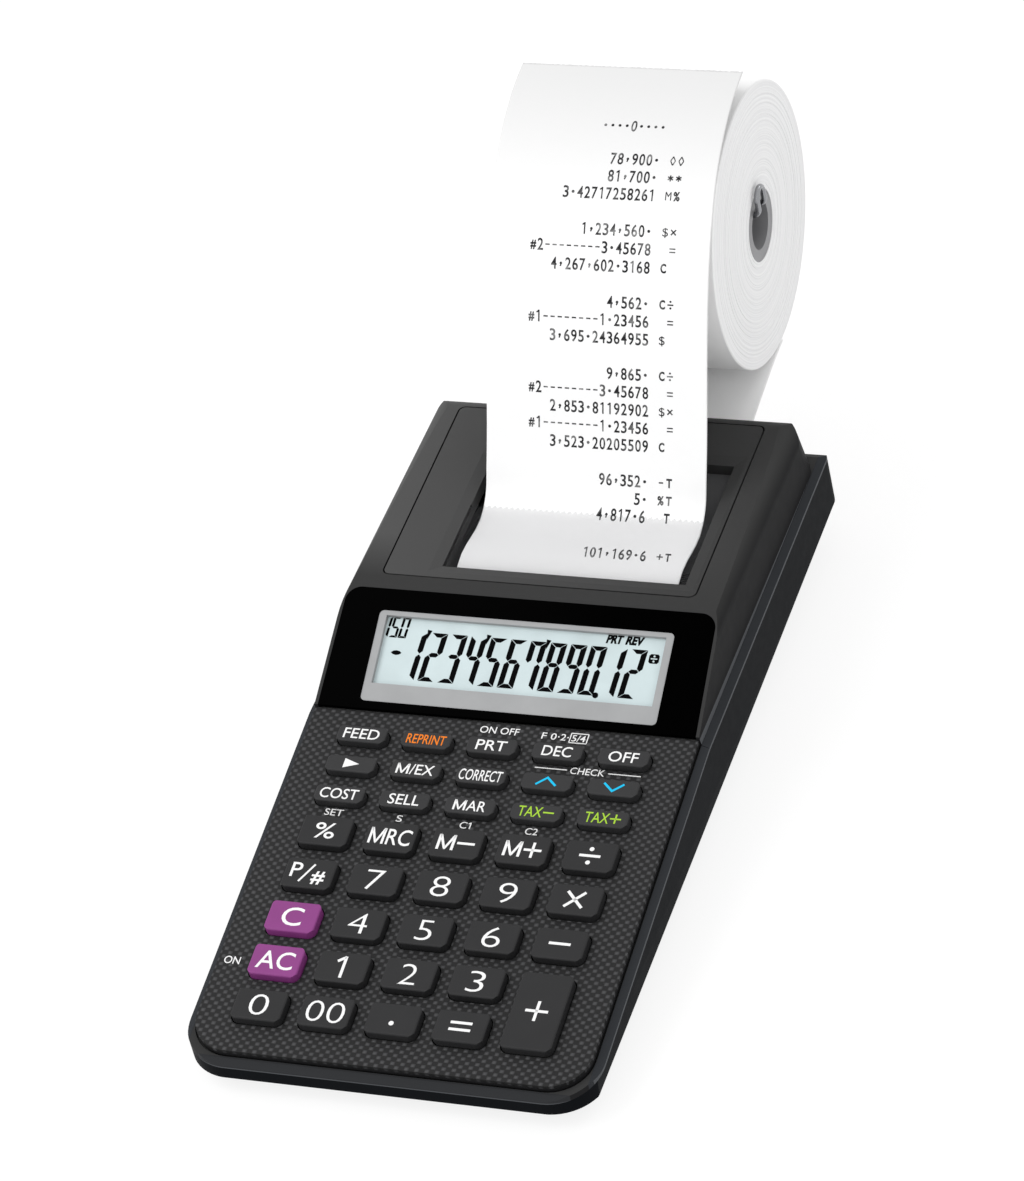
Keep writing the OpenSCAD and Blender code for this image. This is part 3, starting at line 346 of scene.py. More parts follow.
def ink_shader(name, colour, fade=0.0, roughness=0.5, specular=0.2):
    """Printed ink. Fade is how far it thins out in patches, towards a paler shade."""
    s = Shader(name, srgb(*colour), roughness, specular)
    if fade:
        thin = s.span(s.noise(2.2, 1.0), 0, fade, 0.5, 0.75)
        s.set("Base Color", s.mix(thin, s.colour, grey(200)))
    else:
        s.set("Base Color", s.mix(s.noise(1.0), shade(s.colour, 0.94), s.colour))
    return s.material


# ---------------------------------------------------------------- places on the object
class Plane:
    """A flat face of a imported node: x across, s up its slope, n out of it, in millimetres from
    the low edge of that face, on the case's middle line."""

    def __init__(self, node):
        mesh = frame["nodes"][node].data
        areas = {}
        for face in mesh.polygons:
            if face.normal.z > 0.5:
                key = round(face.normal.y, 3)
                areas[key] = areas.get(key, 0) + face.area
        tilt = -max(areas, key=areas.get)
        self.n = Vector((0, -tilt, math.sqrt(1 - tilt * tilt)))
        self.s = Vector((0, self.n.z, tilt))
        height = max(v.co.dot(self.n) for v in mesh.vertices)
        start = min(v.co.dot(self.s) for v in mesh.vertices)
        self.origin = self.s * start + self.n * height

    def at(self, x, s, n):
        return self.origin + (Vector((x, 0, 0)) + self.s * s + self.n * n) * MM

    def box(self, node):
        """Lowest and highest (x, s, n) of a node."""
        spots = [v.co - self.origin for v in frame["nodes"][node].data.vertices]
        rows = [[v.dot(way) for v in spots] for way in (Vector((1, 0, 0)), self.s, self.n)]
        return [min(r) / MM for r in rows], [max(r) / MM for r in rows]


DECK = Plane("keyboard_panel")
DISPLAY = Plane("display_bezel")


def end_outline(node):
    """The outline of a node's end face on its right, as a ring of points in order."""
    made = bmesh.new()
    made.from_mesh(frame["nodes"][node].data)
    bmesh.ops.remove_doubles(made, verts=made.verts, dist=MM / 1000)
    cap = {face for face in made.faces if face.normal.x > 0.9}
    beside = {}
    for face in cap:
        for edge in face.edges:
            if len(cap.intersection(edge.link_faces)) == 1:
                a, b = edge.verts
                beside.setdefault(a, []).append(b)
                beside.setdefault(b, []).append(a)
    ring = [next(iter(beside))]
    while True:
        onward = [v for v in beside[ring[-1]] if v not in ring[-2:] and v is not ring[0]]
        if not onward:
            break
        ring.append(onward[0])
    ring = [v.co.copy() for v in ring]
    made.free()
    return ring


class PaperPath:
    """The line that the paper takes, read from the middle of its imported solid."""

    def __init__(self):
        ring = end_outline("paper_strip")
        n = len(ring)
        ends = sorted(range(n), key=lambda i: (ring[i] - ring[i - 1]).length)[:2]
        torn = max(ends, key=lambda i: ring[i].z)
        ring = ring[torn:] + ring[:torn]
        line = [(ring[i] + ring[-1 - i]) / 2 for i in range(n // 2)]
        low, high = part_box("paper_strip")
        self.x0, self.x1 = low.x, high.x
        self.points = self.smooth(line)
        self.lengths = [0.0]
        for a, b in zip(self.points, self.points[1:]):
            self.lengths.append(self.lengths[-1] + (b - a).length)
        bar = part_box("paper_cutter")[1]
        # the place where the paper leaves the tear bar, counted from the torn end
        self.bar_v = next(v for p, v in zip(self.points, self.lengths)
                          if p.y < bar.y and p.z < bar.z)

    @staticmethod
    def smooth(line):
        """A smooth curve through unevenly spaced points."""
        steps = 6
        slopes = []
        for i, p in enumerate(line):
            before = p - line[i - 1] if i else None
            after = line[i + 1] - p if i + 1 < len(line) else None
            if before is None or after is None:
                slopes.append((before or after).normalized())
            else:
                a, b = before.length, after.length
                slopes.append((before / a * b + after / b * a) / (a + b))
        made = []
        for (p, q), (m, n) in zip(zip(line, line[1:]), zip(slopes, slopes[1:])):
            reach = (q - p).length
            for k in range(steps):
                t = k / steps
                made.append(p * (2 * t ** 3 - 3 * t * t + 1) + m * reach * (t ** 3 - 2 * t * t + t)
                            + q * (3 * t * t - 2 * t ** 3) + n * reach * (t ** 3 - t * t))
        return made + [line[-1]]

    def at(self, x, v, lift):
        """The point at x, at length v from the torn end, lifted off the printed face."""
        v = min(max(v, 0.0), self.lengths[-1])
        i = max(1, next(k for k, length in enumerate(self.lengths) if length >= v - 1e-9))
        a, b = self.points[i - 1], self.points[i]
        along = (b - a).normalized()
        spot = a + along * (v - self.lengths[i - 1]) + Vector((0, along.z, -along.y)) * lift
        return Vector((x, spot.y, spot.z))


# ---------------------------------------------------------------- meshes
def new_piece(name, verts, faces, material, body, smooth=True):
    """A mesh that rides on a body."""
    mesh = bpy.data.meshes.new(name)
    mesh.from_pydata([tuple(v) for v in verts], [], faces)
    mesh.validate()
    made = bmesh.new()
    made.from_mesh(mesh)
    bmesh.ops.recalc_face_normals(made, faces=made.faces)
    made.to_mesh(mesh)
    made.free()
    piece = bpy.data.objects.new(name, mesh)
    bpy.context.scene.collection.objects.link(piece)
    mesh.materials.append(material)
    if smooth:
        mesh.shade_smooth()
    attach(piece, body)
    return piece


def letter_mesh(text, slant, weight):
    """Some text as a closed mesh, one unit to the size of its type and one unit thick."""
    curve = bpy.data.curves.new("type", "FONT")
    curve.body, curve.shear, curve.offset = text, slant, weight
    curve.extrude, curve.resolution_u = 0.5, 4
    holder = bpy.data.objects.new("type", curve)
    bpy.context.scene.collection.objects.link(holder)
    seen = holder.evaluated_get(bpy.context.evaluated_depsgraph_get())
    mesh = bpy.data.meshes.new_from_object(seen)
    verts = [v.co.copy() for v in mesh.vertices]
    faces = [list(p.vertices) for p in mesh.polygons]
    bpy.data.objects.remove(holder)
    bpy.data.curves.remove(curve)
    bpy.data.meshes.remove(mesh)
    return verts, faces


class Marks:
    """Printed marks in a plane's own millimetres, each a thin closed solid."""

    def __init__(self):
        self.verts, self.faces = [], []

    def add(self, verts, faces):
        start = len(self.verts)
        self.verts += verts
        self.faces += [[i + start for i in f] for f in faces]

    def shape(self, points):
        """A filled outline, given as a ring of points."""
        n = len(points)
        verts = [(x, y, z) for z in (0, INK_T) for x, y in points]
        sides = [[i, (i + 1) % n, n + (i + 1) % n, n + i] for i in range(n)]
        self.add(verts, [list(range(n))[::-1], list(range(n, 2 * n)), *sides])

    def line(self, points, width):
        """A stroke of even width with mitred corners and square ends."""
        left, right = [], []
        for i, p in enumerate(points):
            p = Vector(p)
            before = (p - Vector(points[i - 1])).normalized() if i else None
            after = (Vector(points[i + 1]) - p).normalized() if i + 1 < len(points) else None
            way = ((before or after) + (after or before)).normalized()
            side = Vector((-way.y, way.x))
            onward = after or before
            reach = width / 2 / max(0.3, side.dot(Vector((-onward.y, onward.x))))
            left.append(p + side * reach)
            right.append(p - side * reach)
        self.shape([tuple(p) for p in left + right[::-1]])

    def disc(self, x, y, r, sides=16):
        self.shape([(x + r * math.cos(a), y + r * math.sin(a))
                    for a in (2 * math.pi * i / sides for i in range(sides))])

    def text(self, text, x, y, height, width, slant=0.0, weight=LETTER_WEIGHT):
        """Letters whose capitals have this height, centred on (x, y) and fitted to a width."""
        verts, faces = letter_mesh(text, slant, weight)
        low, high = min(v.x for v in verts), max(v.x for v in verts)
        scale = height / CAP_SHARE
        stretch = width / (high - low)
        self.add([((v.x - (low + high) / 2) * stretch + x, y - height / 2 + v.y * scale,
                   (v.z + 0.5) * INK_T) for v in verts], faces)

    def cut(self, step):
        """Cuts the marks across at even steps, so that they can follow a curved sheet."""
        mesh = bpy.data.meshes.new("marks")
        mesh.from_pydata(self.verts, [], self.faces)
        made = bmesh.new()
        made.from_mesh(mesh)
        low, high = min(v[1] for v in self.verts), max(v[1] for v in self.verts)
        for k in range(1, math.ceil((high - low) / step)):
            bmesh.ops.bisect_plane(made, geom=[*made.verts, *made.edges, *made.faces],
                                   plane_co=(0, low + k * step, 0), plane_no=(0, 1, 0))
        made.verts.index_update()
        self.verts = [tuple(v.co) for v in made.verts]
        self.faces = [[v.index for v in f.verts] for f in made.faces]
        made.free()
        bpy.data.meshes.remove(mesh)

    def piece(self, name, place, material, body, slot=None):
        verts = [place(*v) for v in self.verts]
        return new_piece(name, verts, self.faces, material, body, smooth=False)


# ---------------------------------------------------------------- key legends
WHITE, ORANGE, GREEN, CYAN = "ink_white", "ink_orange", "ink_green", "ink_cyan"
SMALL_H, CAPITAL_H, DIGIT_H = 3.0, 4.6, 6.0
BAR = 0.72  # width of a sign's strokes
LABEL_H = 1.9  # of the words printed on the panel
FINE = 0.28  # width of the thin lines there
SMALL_KEY_L = 8.0  # the keys of the upper rows are shorter than this


def words(text, width, height=SMALL_H):
    return lambda m, x, y: m.text(text, x, y, height, width)


def digit(text, width=4.5):
    return lambda m, x, y: m.text(text, x, y, DIGIT_H, width, weight=DIGIT_WEIGHT)


def one(m, x, y):
    """The figure 1 with a flag, which the built-in letters lack."""
    half = DIGIT_H / 2
    m.line([(x - 1.5, y + half - 1.5), (x + 0.35, y + half - 0.15)], BAR)
    m.line([(x + 0.3, y - half), (x + 0.3, y + half)], BAR)


def minus(m, x, y, half=2.65, bar=BAR):
    m.line([(x - half, y), (x + half, y)], bar)


def plus(m, x, y, half=2.75, bar=BAR):
    minus(m, x, y, half, bar)
    m.line([(x, y - half), (x, y + half)], bar)


def times(m, x, y, half=2.2):
    m.line([(x - half, y - half), (x + half, y + half)], BAR)
    m.line([(x - half, y + half), (x + half, y - half)], BAR)


def divide(m, x, y):
    minus(m, x, y, 2.6)
    for side in (-1, 1):
        m.disc(x, y + side * 1.95, 0.58)


def equals(m, x, y):
    for side in (-1, 1):
        minus(m, x, y + side * 0.95)


def point(m, x, y):
    m.disc(x, y - 1.2, 0.62)


def forward(m, x, y):
    """A triangle that points to the right."""
    m.shape([(x - 1.7, y - 1.4), (x + 2.2, y), (x - 1.7, y + 1.4)])


def chevron(up):
    rise = 1.1 * up
    return lambda m, x, y: m.line([(x - 2.5, y - rise), (x, y + rise), (x + 2.5, y - rise)], 0.55)


def letter_m(m, x, y, width, height, stroke):
    """A capital M in even strokes, centred on (x, y)."""
    w, h = (width - stroke) / 2, height / 2
    m.line([(x - w, y - h), (x - w, y + h)], stroke)
    m.line([(x + w, y - h), (x + w, y + h)], stroke)
    for side in (-1, 1):
        m.shape([(x + side * (w + stroke / 2), y + h), (x + side * (w - stroke * 0.55), y + h),
                 (x - side * stroke * 0.1, y - h * 0.62), (x + side * stroke * 0.1, y - h),
                 (x + side * stroke * 0.55, y - h * 0.8)])


def with_m(rest, width, height, m_width, gap=0.55, stroke=0.6):
    """A word that starts with M, as wide as stated in all."""

    def draw(m, x, y):
        letter_m(m, x - width / 2 + m_width / 2, y, m_width, height, stroke)
        rest_width = width - m_width - gap
        m.text(rest, x + width / 2 - rest_width / 2, y, height, rest_width)
    return draw


def memory(sign):
    """An M and a plus or minus."""

    def draw(m, x, y):
        letter_m(m, x - 2.5, y, 4.3, CAPITAL_H - 0.2, 0.68)
        sign(m, x + 2.45, y, 2.2, 0.66)
    return draw


def tax(sign):
    """The word TAX and a plus or minus."""

    def draw(m, x, y):
        m.text("TAX", x - 1.4, y, SMALL_H, 6.0)
        sign(m, x + 3.15, y, 1.35, 0.42)
    return draw


def number_key(m, x, y):
    """A raised P and a number sign, with a long stroke between them."""
    m.text("P", x - 3.3, y + 0.75, 4.2, 2.7)
    m.line([(x - 1.9, y - 2.6), (x + 0.9, y + 2.6)], 0.5)
    m.text("#", x + 2.6, y - 0.75, 3.6, 3.3, weight=0.02)


COLOURED = {"key_reprint": ORANGE, "key_up": CYAN, "key_down": CYAN, "key_tax_minus": GREEN,
            "key_tax_plus": GREEN}
LEGENDS = {
    "key_feed": words("FEED", 9.1),
    "key_reprint": words("REPRINT", 9.9, 2.8),
    "key_print_mode": words("PRT", 7.6),
    "key_decimals": words("DEC", 7.4),
    "key_off": words("OFF", 7.4),
    "key_next": forward,
    "key_memory_exchange": with_m("/EX", 9.5, SMALL_H, 3.2, 0.3, 0.5),
    "key_correct": words("CORRECT", 10.8, 3.15),
    "key_up": chevron(1),
    "key_down": chevron(-1),
    "key_cost": words("COST", 9.7),
    "key_sell": words("SELL", 7.9),
    "key_margin": with_m("AR", 8.1, SMALL_H, 3.1, 0.3, 0.5),
    "key_tax_minus": tax(minus),
    "key_tax_plus": tax(plus),
    "key_percent": words("%", 5.2, 4.5),
    "key_memory_recall": with_m("RC", 10.5, CAPITAL_H, 3.9),
    "key_memory_minus": memory(minus),
    "key_memory_plus": memory(plus),
    "key_divide": divide,
    "key_number": number_key,
    "key_7": digit("7"),
    "key_8": digit("8"),
    "key_9": digit("9"),
    "key_multiply": times,
    "key_clear": words("C", 5.2, 5.2),
    "key_4": digit("4", 4.7),
    "key_5": digit("5", 3.9),
    "key_6": digit("6"),
    "key_minus": minus,
    "key_all_clear": words("AC", 9.1, 5.0),
    "key_1": one,
    "key_2": digit("2", 4.1),
    "key_3": digit("3", 4.1),
    "key_0": digit("0", 4.7),
    "key_00": digit("00", 9.4),
    "key_point": point,
    "key_equals": equals,
    "key_plus": plus,
}


def frame_body(node):
    return frame["nodes"][node]["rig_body"]


def key_legends(inks):
    """What is printed on each key, as a piece of its own that moves with the key."""
    for node, draw in LEGENDS.items():
        low, high = DECK.box(node)
        marks = Marks()
        draw(marks, 0, 0)
        middle = [(low[i] + high[i]) / 2 for i in (0, 1)]
        top = high[2] + INK_LIFT - INK_T / 2

        def place(x, y, z, middle=middle, top=top):
            return DECK.at(middle[0] + x, middle[1] + y, top + z)
        name = node.replace("key_", "legend_")
        marks.piece(name, place, inks[COLOURED.get(node, WHITE)], frame_body(node))


def panel_legends(inks):
    """The small words printed on the panel beside the keys they belong to."""
    m = Marks()

    def behind(node, rise):
        """The middle of a key across, and a place this far behind it."""
        low, high = DECK.box(node)
        return (low[0] + high[0]) / 2, high[1] + rise
    x, y = behind("key_print_mode", 2.9)
    m.text("ON OFF", x - 0.2, y, LABEL_H + 0.1, 9.9)
    x, y = behind("key_decimals", 2.6)
    m.text("F", x - 5.4, y, LABEL_H, 1.2)
    m.text("0", x - 3.0, y, LABEL_H, 1.4)
    m.disc(x - 1.75, y, 0.2)
    m.text("2", x - 0.55, y, LABEL_H, 1.3)
    m.disc(x + 0.6, y, 0.2)
    m.text("5/4", x + 3.3, y, LABEL_H, 3.4)
    edge = [(x + 1.15, y - 1.4), (x + 5.5, y - 1.4), (x + 5.5, y + 1.4), (x + 1.15, y + 1.4)]
    for a, b in zip(edge, edge[1:] + edge[:1]):
        m.line([a, b], 0.25)
    x, y = behind("key_up", 2.15)
    m.text("CHECK", x + 8.25, y, LABEL_H, 8.6)
    for start in (-5.0, 13.4):
        m.line([(x + start, y), (x + start + 8.1, y)], FINE)
    for node, text, width, dx, rise in (
            ("key_percent", "SET", 4.7, -0.48, 1.85), ("key_memory_recall", "S", 1.5, -0.4, 1.85),
            ("key_memory_minus", "C1", 2.8, -0.27, 1.7), ("key_memory_plus", "C2", 3.1, -0.3, 1.7)):
        x, y = behind(node, rise)
        m.text(text, x + dx, y, LABEL_H, width)
        if text == "C1":  # the font's 1 has hardly a flag
            end = x + dx + width / 2
            m.line([(end - 0.65, y + 0.45), (end - 0.15, y + 0.85)], FINE)
    low, high = DECK.box("key_all_clear")
    m.text("ON", low[0] - 4.6, (low[1] + high[1]) / 2 + 0.1, 2.1, 4.0)
    m.piece("panel_legends", lambda x, y, z: DECK.at(x, y, z + INK_LIFT - INK_T / 2),
            inks[WHITE], "case")


# ---------------------------------------------------------------- liquid crystal segments
DIGIT_PITCH = 5.1
LCD_RISE = 0.65  # of the drawing's zero above the black panel's low edge
LCD_LEAN = 0.093
LCD_FIRST_X, LCD_FOOT = -29.08, 8.6  # low left corner of the first figure
BAR_GAP = 0.07  # between the bars of a figure, as a share of their width
# the bars of each figure: a at the top, then b to f clockwise, and g in the middle
SEGMENTS = {"0": "abcdef", "1": "bc", "2": "abged", "3": "abgcd", "4": "fgbc", "5": "afgcd",
            "6": "afgedc", "7": "fabc", "8": "abcdefg", "9": "abcdfg"}


def segment_bars(width, height, half, u, v, gap):
    """The seven bars of a figure as rings of points. Bars are 2u wide where upright and 2v where
    level, mitred against each other at the corners and pointed at the middle, with a thin gap."""

    def level(y, out):
        return [(gap - u, y + out * v), (width + u - gap, y + out * v),
                (width - u - gap, y - out * v), (u + gap, y - out * v)]

    def upright(x, way, y, out):
        return [(x - way * u, y + out * (v - gap)), (x + way * u, y - out * (v + gap)),
                (x + way * u, half + out * (u + gap)), (x, half + out * gap),
                (x - way * u, half + out * (u + gap))]
    left, right = v + gap, width - v - gap
    return {
        "a": level(height, 1), "d": level(0, -1),
        "b": upright(width, -1, height, 1), "c": upright(width, -1, 0, -1),
        "e": upright(0, 1, 0, -1), "f": upright(0, 1, height, 1),
        "g": [(gap, half), (left, half + v), (right, half + v), (width - gap, half),
              (right, half - v), (left, half - v)]}


def segment_number(m, text, x, y, width, height, stroke, pitch, flat=0.78, waist=0.55):
    """Seven-segment figures. The level bars are thinner than the upright ones by the share
    flat, and the middle bar lies at the share waist of the height."""
    bars = segment_bars(width, height, height * waist, stroke / 2, stroke * flat / 2,
                        stroke * BAR_GAP)
    for i, figure in enumerate(text):
        left = x + i * pitch
        for name in SEGMENTS[figure]:
            m.shape([(left + px + LCD_LEAN * py, y + py) for px, py in bars[name]])


def display_marks(inks):
    """The figures and signs of the liquid crystal cell, drawn from the black panel's low edge."""
    top = DISPLAY.box("lcd_panel")[1][2] + INK_LIFT - INK_T / 2
    foot = DISPLAY.box("display_bezel")[0][1] + LCD_RISE

    def place(x, y, z):
        return DISPLAY.at(x, foot + y, top + z)
    m = Marks()
    for text, x in (("1234567890", LCD_FIRST_X), ("12", LCD_FIRST_X + 10 * DIGIT_PITCH)):
        segment_number(m, text, x, LCD_FOOT, width=2.7, height=11.5, stroke=1.4, pitch=DIGIT_PITCH)
    segment_number(m, "150", -36.7, 18.9, width=1.5, height=4.9, stroke=0.64, pitch=2.38,
                   flat=0.8, waist=0.48)
    # the minus sign before the number, its decimal point and the marks between thousands
    m.shape([(-33.1, 14.8), (-32.5, 15.25), (-31.7, 15.42), (-30.9, 15.25), (-30.3, 14.8),
             (-30.9, 14.35), (-31.7, 14.18), (-32.5, 14.35)])
    m.disc(20.75, 8.2, 0.75)
    for i in range(3):
        x = -24.6 + 3 * i * DIGIT_PITCH
        m.shape([(x, 18.8), (x + 0.9, 21.15), (x - 0.3, 21.35)])
    for text, x, width in (("PRT", 22.75, 4.4), ("REV", 27.85, 4.8)):
        m.text(text, x, 22.85, 2.1, width, slant=0.2, weight=0.055)
    m.piece("lcd_segments", place, inks["ink_lcd"], "case", "lcd_cell")
    # a division sign in the cell's own colour on a dark field
    field, sign = Marks(), Marks()
    field.shape([(32.5, 17.4), (34.3, 17.4), (34.7, 17.8), (34.7, 19.4), (34.3, 19.8), (32.5, 19.8),
                 (32.1, 19.4), (32.1, 17.8)])
    field.piece("lcd_sign_field", place, inks["ink_lcd"], "case", "lcd_cell")
    sign.line([(32.6, 18.6), (34.2, 18.6)], 0.28)
    for y in (17.95, 19.25):
        sign.disc(33.4, y, 0.26, 10)
    sign.piece("lcd_sign", lambda x, y, z: place(x, y, z + INK_T),
               frame["nodes"]["lcd_panel"].data.materials[0], "case", "lcd_cell")


# ---------------------------------------------------------------- printed paper
CHAR_PITCH, CHAR_H = 1.84, 2.85
PEN = 0.34
LINE_PITCH = 4.36
FIRST_LINE = 4.03  # from where the paper leaves the tear bar to row 0
NUMBER_RIGHT = 17.8  # middle of a number's last character
SIGN_COLUMNS = (22.0, 24.1)
LAST_ROW_X = 4.3  # how far the row under the clear bar stands to the right of the others
# the rows as counted from the tear bar, each with its number and the two signs behind it
PRINT_ROWS = [
    (22, "....0....", ""), (20, "78,900.", "dd"), (19, "81,700.", "**"), (18, "3.42717258261", "M%"),
    (16, "1,234,560.", "$x"), (15, "#2--------3.45678", " ="), (14, "4,267,602.3168", "C "),
    (12, "4,562.", "C/"), (11, "#1--------1.23456", " ="), (10, "3,695.24364955", "$ "),
    (8, "9,865.", "C/"), (7, "#2--------3.45678", " ="), (6, "2,853.81192902", "$x"),
    (5, "#1--------1.23456", " ="), (4, "3,523.20205509", "C "),
    (2, "96,352.", "-T"), (1, "5.", "%T"), (0, "4,817.6", " T"), (-3.11, "101,169.6", "+T")]
# The paper lies flatter at the clear bar, and these rows are stretched along it by this share
# of the full stretch and lean, so that their figures stand as upright as the others.
UNDER_BAR = {0: 0.3, -3.11: 1.0}
BAR_STRETCH, BAR_LEAN = 0.45, 0.32


def crossing(m, x, y, reach, *angles):
    """Strokes through one point, at these angles."""
    for angle in angles:
        way = Vector((math.cos(math.radians(angle)), math.sin(math.radians(angle)))) * reach
        m.line([(x - way.x, y - way.y), (x + way.x, y + way.y)], PEN)


def print_character(m, c, x, y):
    """One character of the printer, drawn in strokes where the built-in letters differ."""
    half = CHAR_H / 2
    if c == " ":
        return
    if c == ".":
        m.disc(x, y, 0.38, 10)
    elif c == ",":
        m.disc(x, y, 0.34, 10)
        m.line([(x + 0.12, y), (x - 0.15, y - 0.75)], PEN)
    elif c == "-":
        crossing(m, x, y, 0.55, 0)
    elif c == "+":
        crossing(m, x, y, 0.8, 0, 90)
    elif c == "=":
        for side in (-0.4, 0.4):
            m.line([(x - 0.75, y + side), (x + 0.75, y + side)], PEN * 0.9)
    elif c == "x":
        crossing(m, x, y, 0.9, 45, 135)
    elif c == "/":
        crossing(m, x, y, 0.75, 0)
        for side in (-0.8, 0.8):
            m.disc(x, y + side, 0.27, 8)
    elif c == "d":
        ring = [(x, y - 1.1), (x + 0.6, y), (x, y + 1.1), (x - 0.6, y), (x, y - 1.1)]
        for a, b in zip(ring, ring[1:]):
            m.line([a, b], 0.27)
    elif c == "*":
        crossing(m, x, y, 0.75, 30, 90, 150)
    elif c == "1":
        m.line([(x + 0.1, y - half), (x + 0.1, y + half)], PEN)
        m.line([(x - 0.5, y + half - 0.6), (x + 0.15, y + half - 0.1)], PEN)
    else:
        width = {"M": 1.5, "%": 1.6, "#": 1.5}.get(c, 1.45)
        height = CHAR_H if c.isdigit() else CHAR_H * 0.74
        m.text(c, x, y, height, width, weight=0.0 if c in "M$" else 0.014 if c.isdigit() else 0.034)


def paper_print(path, inks):
    """All rows as one piece that lies on the curved strip."""
    m = Marks()
    for row, number, signs in PRINT_ROWS:
        y = FIRST_LINE + row * LINE_PITCH
        aside = LAST_ROW_X if row < 0 else 0.0
        line = Marks()
        for i, c in enumerate(reversed(number)):
            print_character(line, c, NUMBER_RIGHT + aside - i * CHAR_PITCH, y)
        for c, x in zip(signs, SIGN_COLUMNS):
            print_character(line, c, x + aside, y)
        flat = UNDER_BAR.get(row, 0.0)
        line.verts = [(px - BAR_LEAN * flat * (py - y), y + (1 + BAR_STRETCH * flat) * (py - y), pz)
                      for px, py, pz in line.verts]
        line.cut(0.4)
        m.add(line.verts, line.faces)
    top = PAPER_T / 2 + INK_LIFT - INK_T / 2

    def place(x, y, z):
        return path.at(x * MM, path.bar_v - y * MM, (top + z) * MM)
    m.piece("paper_print", place, inks["ink_paper"], "case", "paper")


def paper_sheet(path, material):
    """The strip as a thin sheet, with the fine saw edge that the tear bar left."""
    rows, width = len(path.points), SHEET_COLUMNS + 1
    verts, faces = [], []
    for side in (1, -1):
        for i, v in enumerate(path.lengths):
            for k in range(width):
                x = path.x0 + (path.x1 - path.x0) * k / SHEET_COLUMNS
                back = 0.0
                if i == 0:
                    phase = (x / MM) % TOOTH / TOOTH
                    tooth = TOOTH_SLOPE * abs(phase - 0.5)
                    back = (TEAR_INSET + tooth + random.uniform(0, TEAR_ROUGH)) * MM
                verts.append(path.at(x, v + back, side * PAPER_T / 2 * MM))
    layer = width * rows
    for i in range(rows - 1):
        for k in range(SHEET_COLUMNS):
            a = i * width + k
            faces.append([a, a + 1, a + 1 + width, a + width])
            faces.append([a + layer, a + layer + width, a + layer + 1 + width, a + layer + 1])
    # the four edges, one after another round the sheet
    rim = [*range(width)] + [i * width + SHEET_COLUMNS for i in range(1, rows)]
    rim += [(rows - 1) * width + k for k in range(SHEET_COLUMNS - 1, -1, -1)]
    rim += [i * width for i in range(rows - 2, 0, -1)]
    for a, b in zip(rim, rim[1:] + rim[:1]):
        faces.append([a, b, b + layer, a + layer])
    sheet = new_piece("paper_sheet", verts, faces, material, "case")
    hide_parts("paper_strip")


# ---------------------------------------------------------------- wound paper roll
def wound_roll(material):
    """The roll turned from one profile, whose faces show the edges of the windings."""
    low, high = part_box("paper_roll")
    core_low, core_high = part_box("roll_core")
    middle = (low + high) / 2
    outer = (high.z - low.z) / 2
    inner = (core_high.z - core_low.z) / 2 + CORE_PLAY * MM
    profile = [(inner, low.x + BORE_BEVEL * MM)]
    steps = [inner + (outer - inner) * (k + 1) / ROLL_RINGS for k in range(ROLL_RINGS)]
    for edge, way in ((low.x, 1), (high.x, -1)):
        levels = [edge + way * random.uniform(*WINDING_STEP) * MM for _ in steps]
        side = []
        for r0, r1, level in zip([inner] + steps, steps, levels):
            side += [(r0, level), (r1, level)]
        side[-1:] = [(outer - inwards * MM, edge + way * deep * MM) for inwards, deep in ROLL_ROUND]
        profile += side if way == 1 else side[::-1]
    profile.append((inner, high.x - BORE_BEVEL * MM))
    verts, faces = [], []
    for t in range(ROLL_TURNS):
        a = 2 * math.pi * t / ROLL_TURNS
        verts += [(x, middle.y + r * math.cos(a), middle.z + r * math.sin(a)) for r, x in profile]
    n = len(profile)
    for t in range(ROLL_TURNS):
        for k in range(n):
            a, b = t * n, ((t + 1) % ROLL_TURNS) * n
            faces.append([a + k, a + (k + 1) % n, b + (k + 1) % n, b + k])
    roll = new_piece("wound_roll", verts, faces, material, "paper_roll")
    smooth_by_angle(roll, ROLL_EDGE_ANGLE)
    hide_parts("paper_roll")


def smooth_by_angle(piece, degrees):
    """Smooth shading that keeps edges sharper than this angle."""
    mesh = piece.data
    made = bmesh.new()
    made.from_mesh(mesh)
    limit = math.radians(degrees)
    for edge in made.edges:
        edge.smooth = len(edge.link_faces) == 2 and edge.calc_face_angle(0) < limit
    made.to_mesh(mesh)
    made.free()


# ---------------------------------------------------------------- camera, floor and light
def set_camera():
    data = bpy.data.cameras.new("camera")
    data.sensor_fit, data.sensor_width, data.lens = "HORIZONTAL", SENSOR, CAMERA_LENS
    data.clip_start, data.clip_end = 0.05, 20
    camera = bpy.data.objects.new("camera", data)
    bpy.context.scene.collection.objects.link(camera)
    turn = (Matrix.Rotation(math.radians(CAMERA_HEADING - 90), 4, "Z")
            @ Matrix.Rotation(math.radians(90 - CAMERA_DIP), 4, "X")
            @ Matrix.Rotation(math.radians(CAMERA_ROLL), 4, "Z"))
    camera.matrix_world = Matrix.Translation(CAMERA_AT) @ turn
    bpy.context.scene.camera = camera


def white_for_camera(tree, lit, white):
    """Shows the second shader to the camera, directly, in mirrors and through clear pieces, and
    the first to all other light."""
    path = tree.nodes.new("ShaderNodeLightPath")
    seen = path.outputs["Is Camera Ray"]
    for name in ("Is Glossy Ray", "Is Transmission Ray"):
        most = tree.nodes.new("ShaderNodeMath")
        most.operation = "MAXIMUM"
        tree.links.new(seen, most.inputs[0])
        tree.links.new(path.outputs[name], most.inputs[1])
        seen = most.outputs[0]
    mix = tree.nodes.new("ShaderNodeMixShader")
    tree.links.new(seen, mix.inputs[0])
    tree.links.new(lit, mix.inputs[1])
    tree.links.new(white, mix.inputs[2])
    return mix.outputs[0]


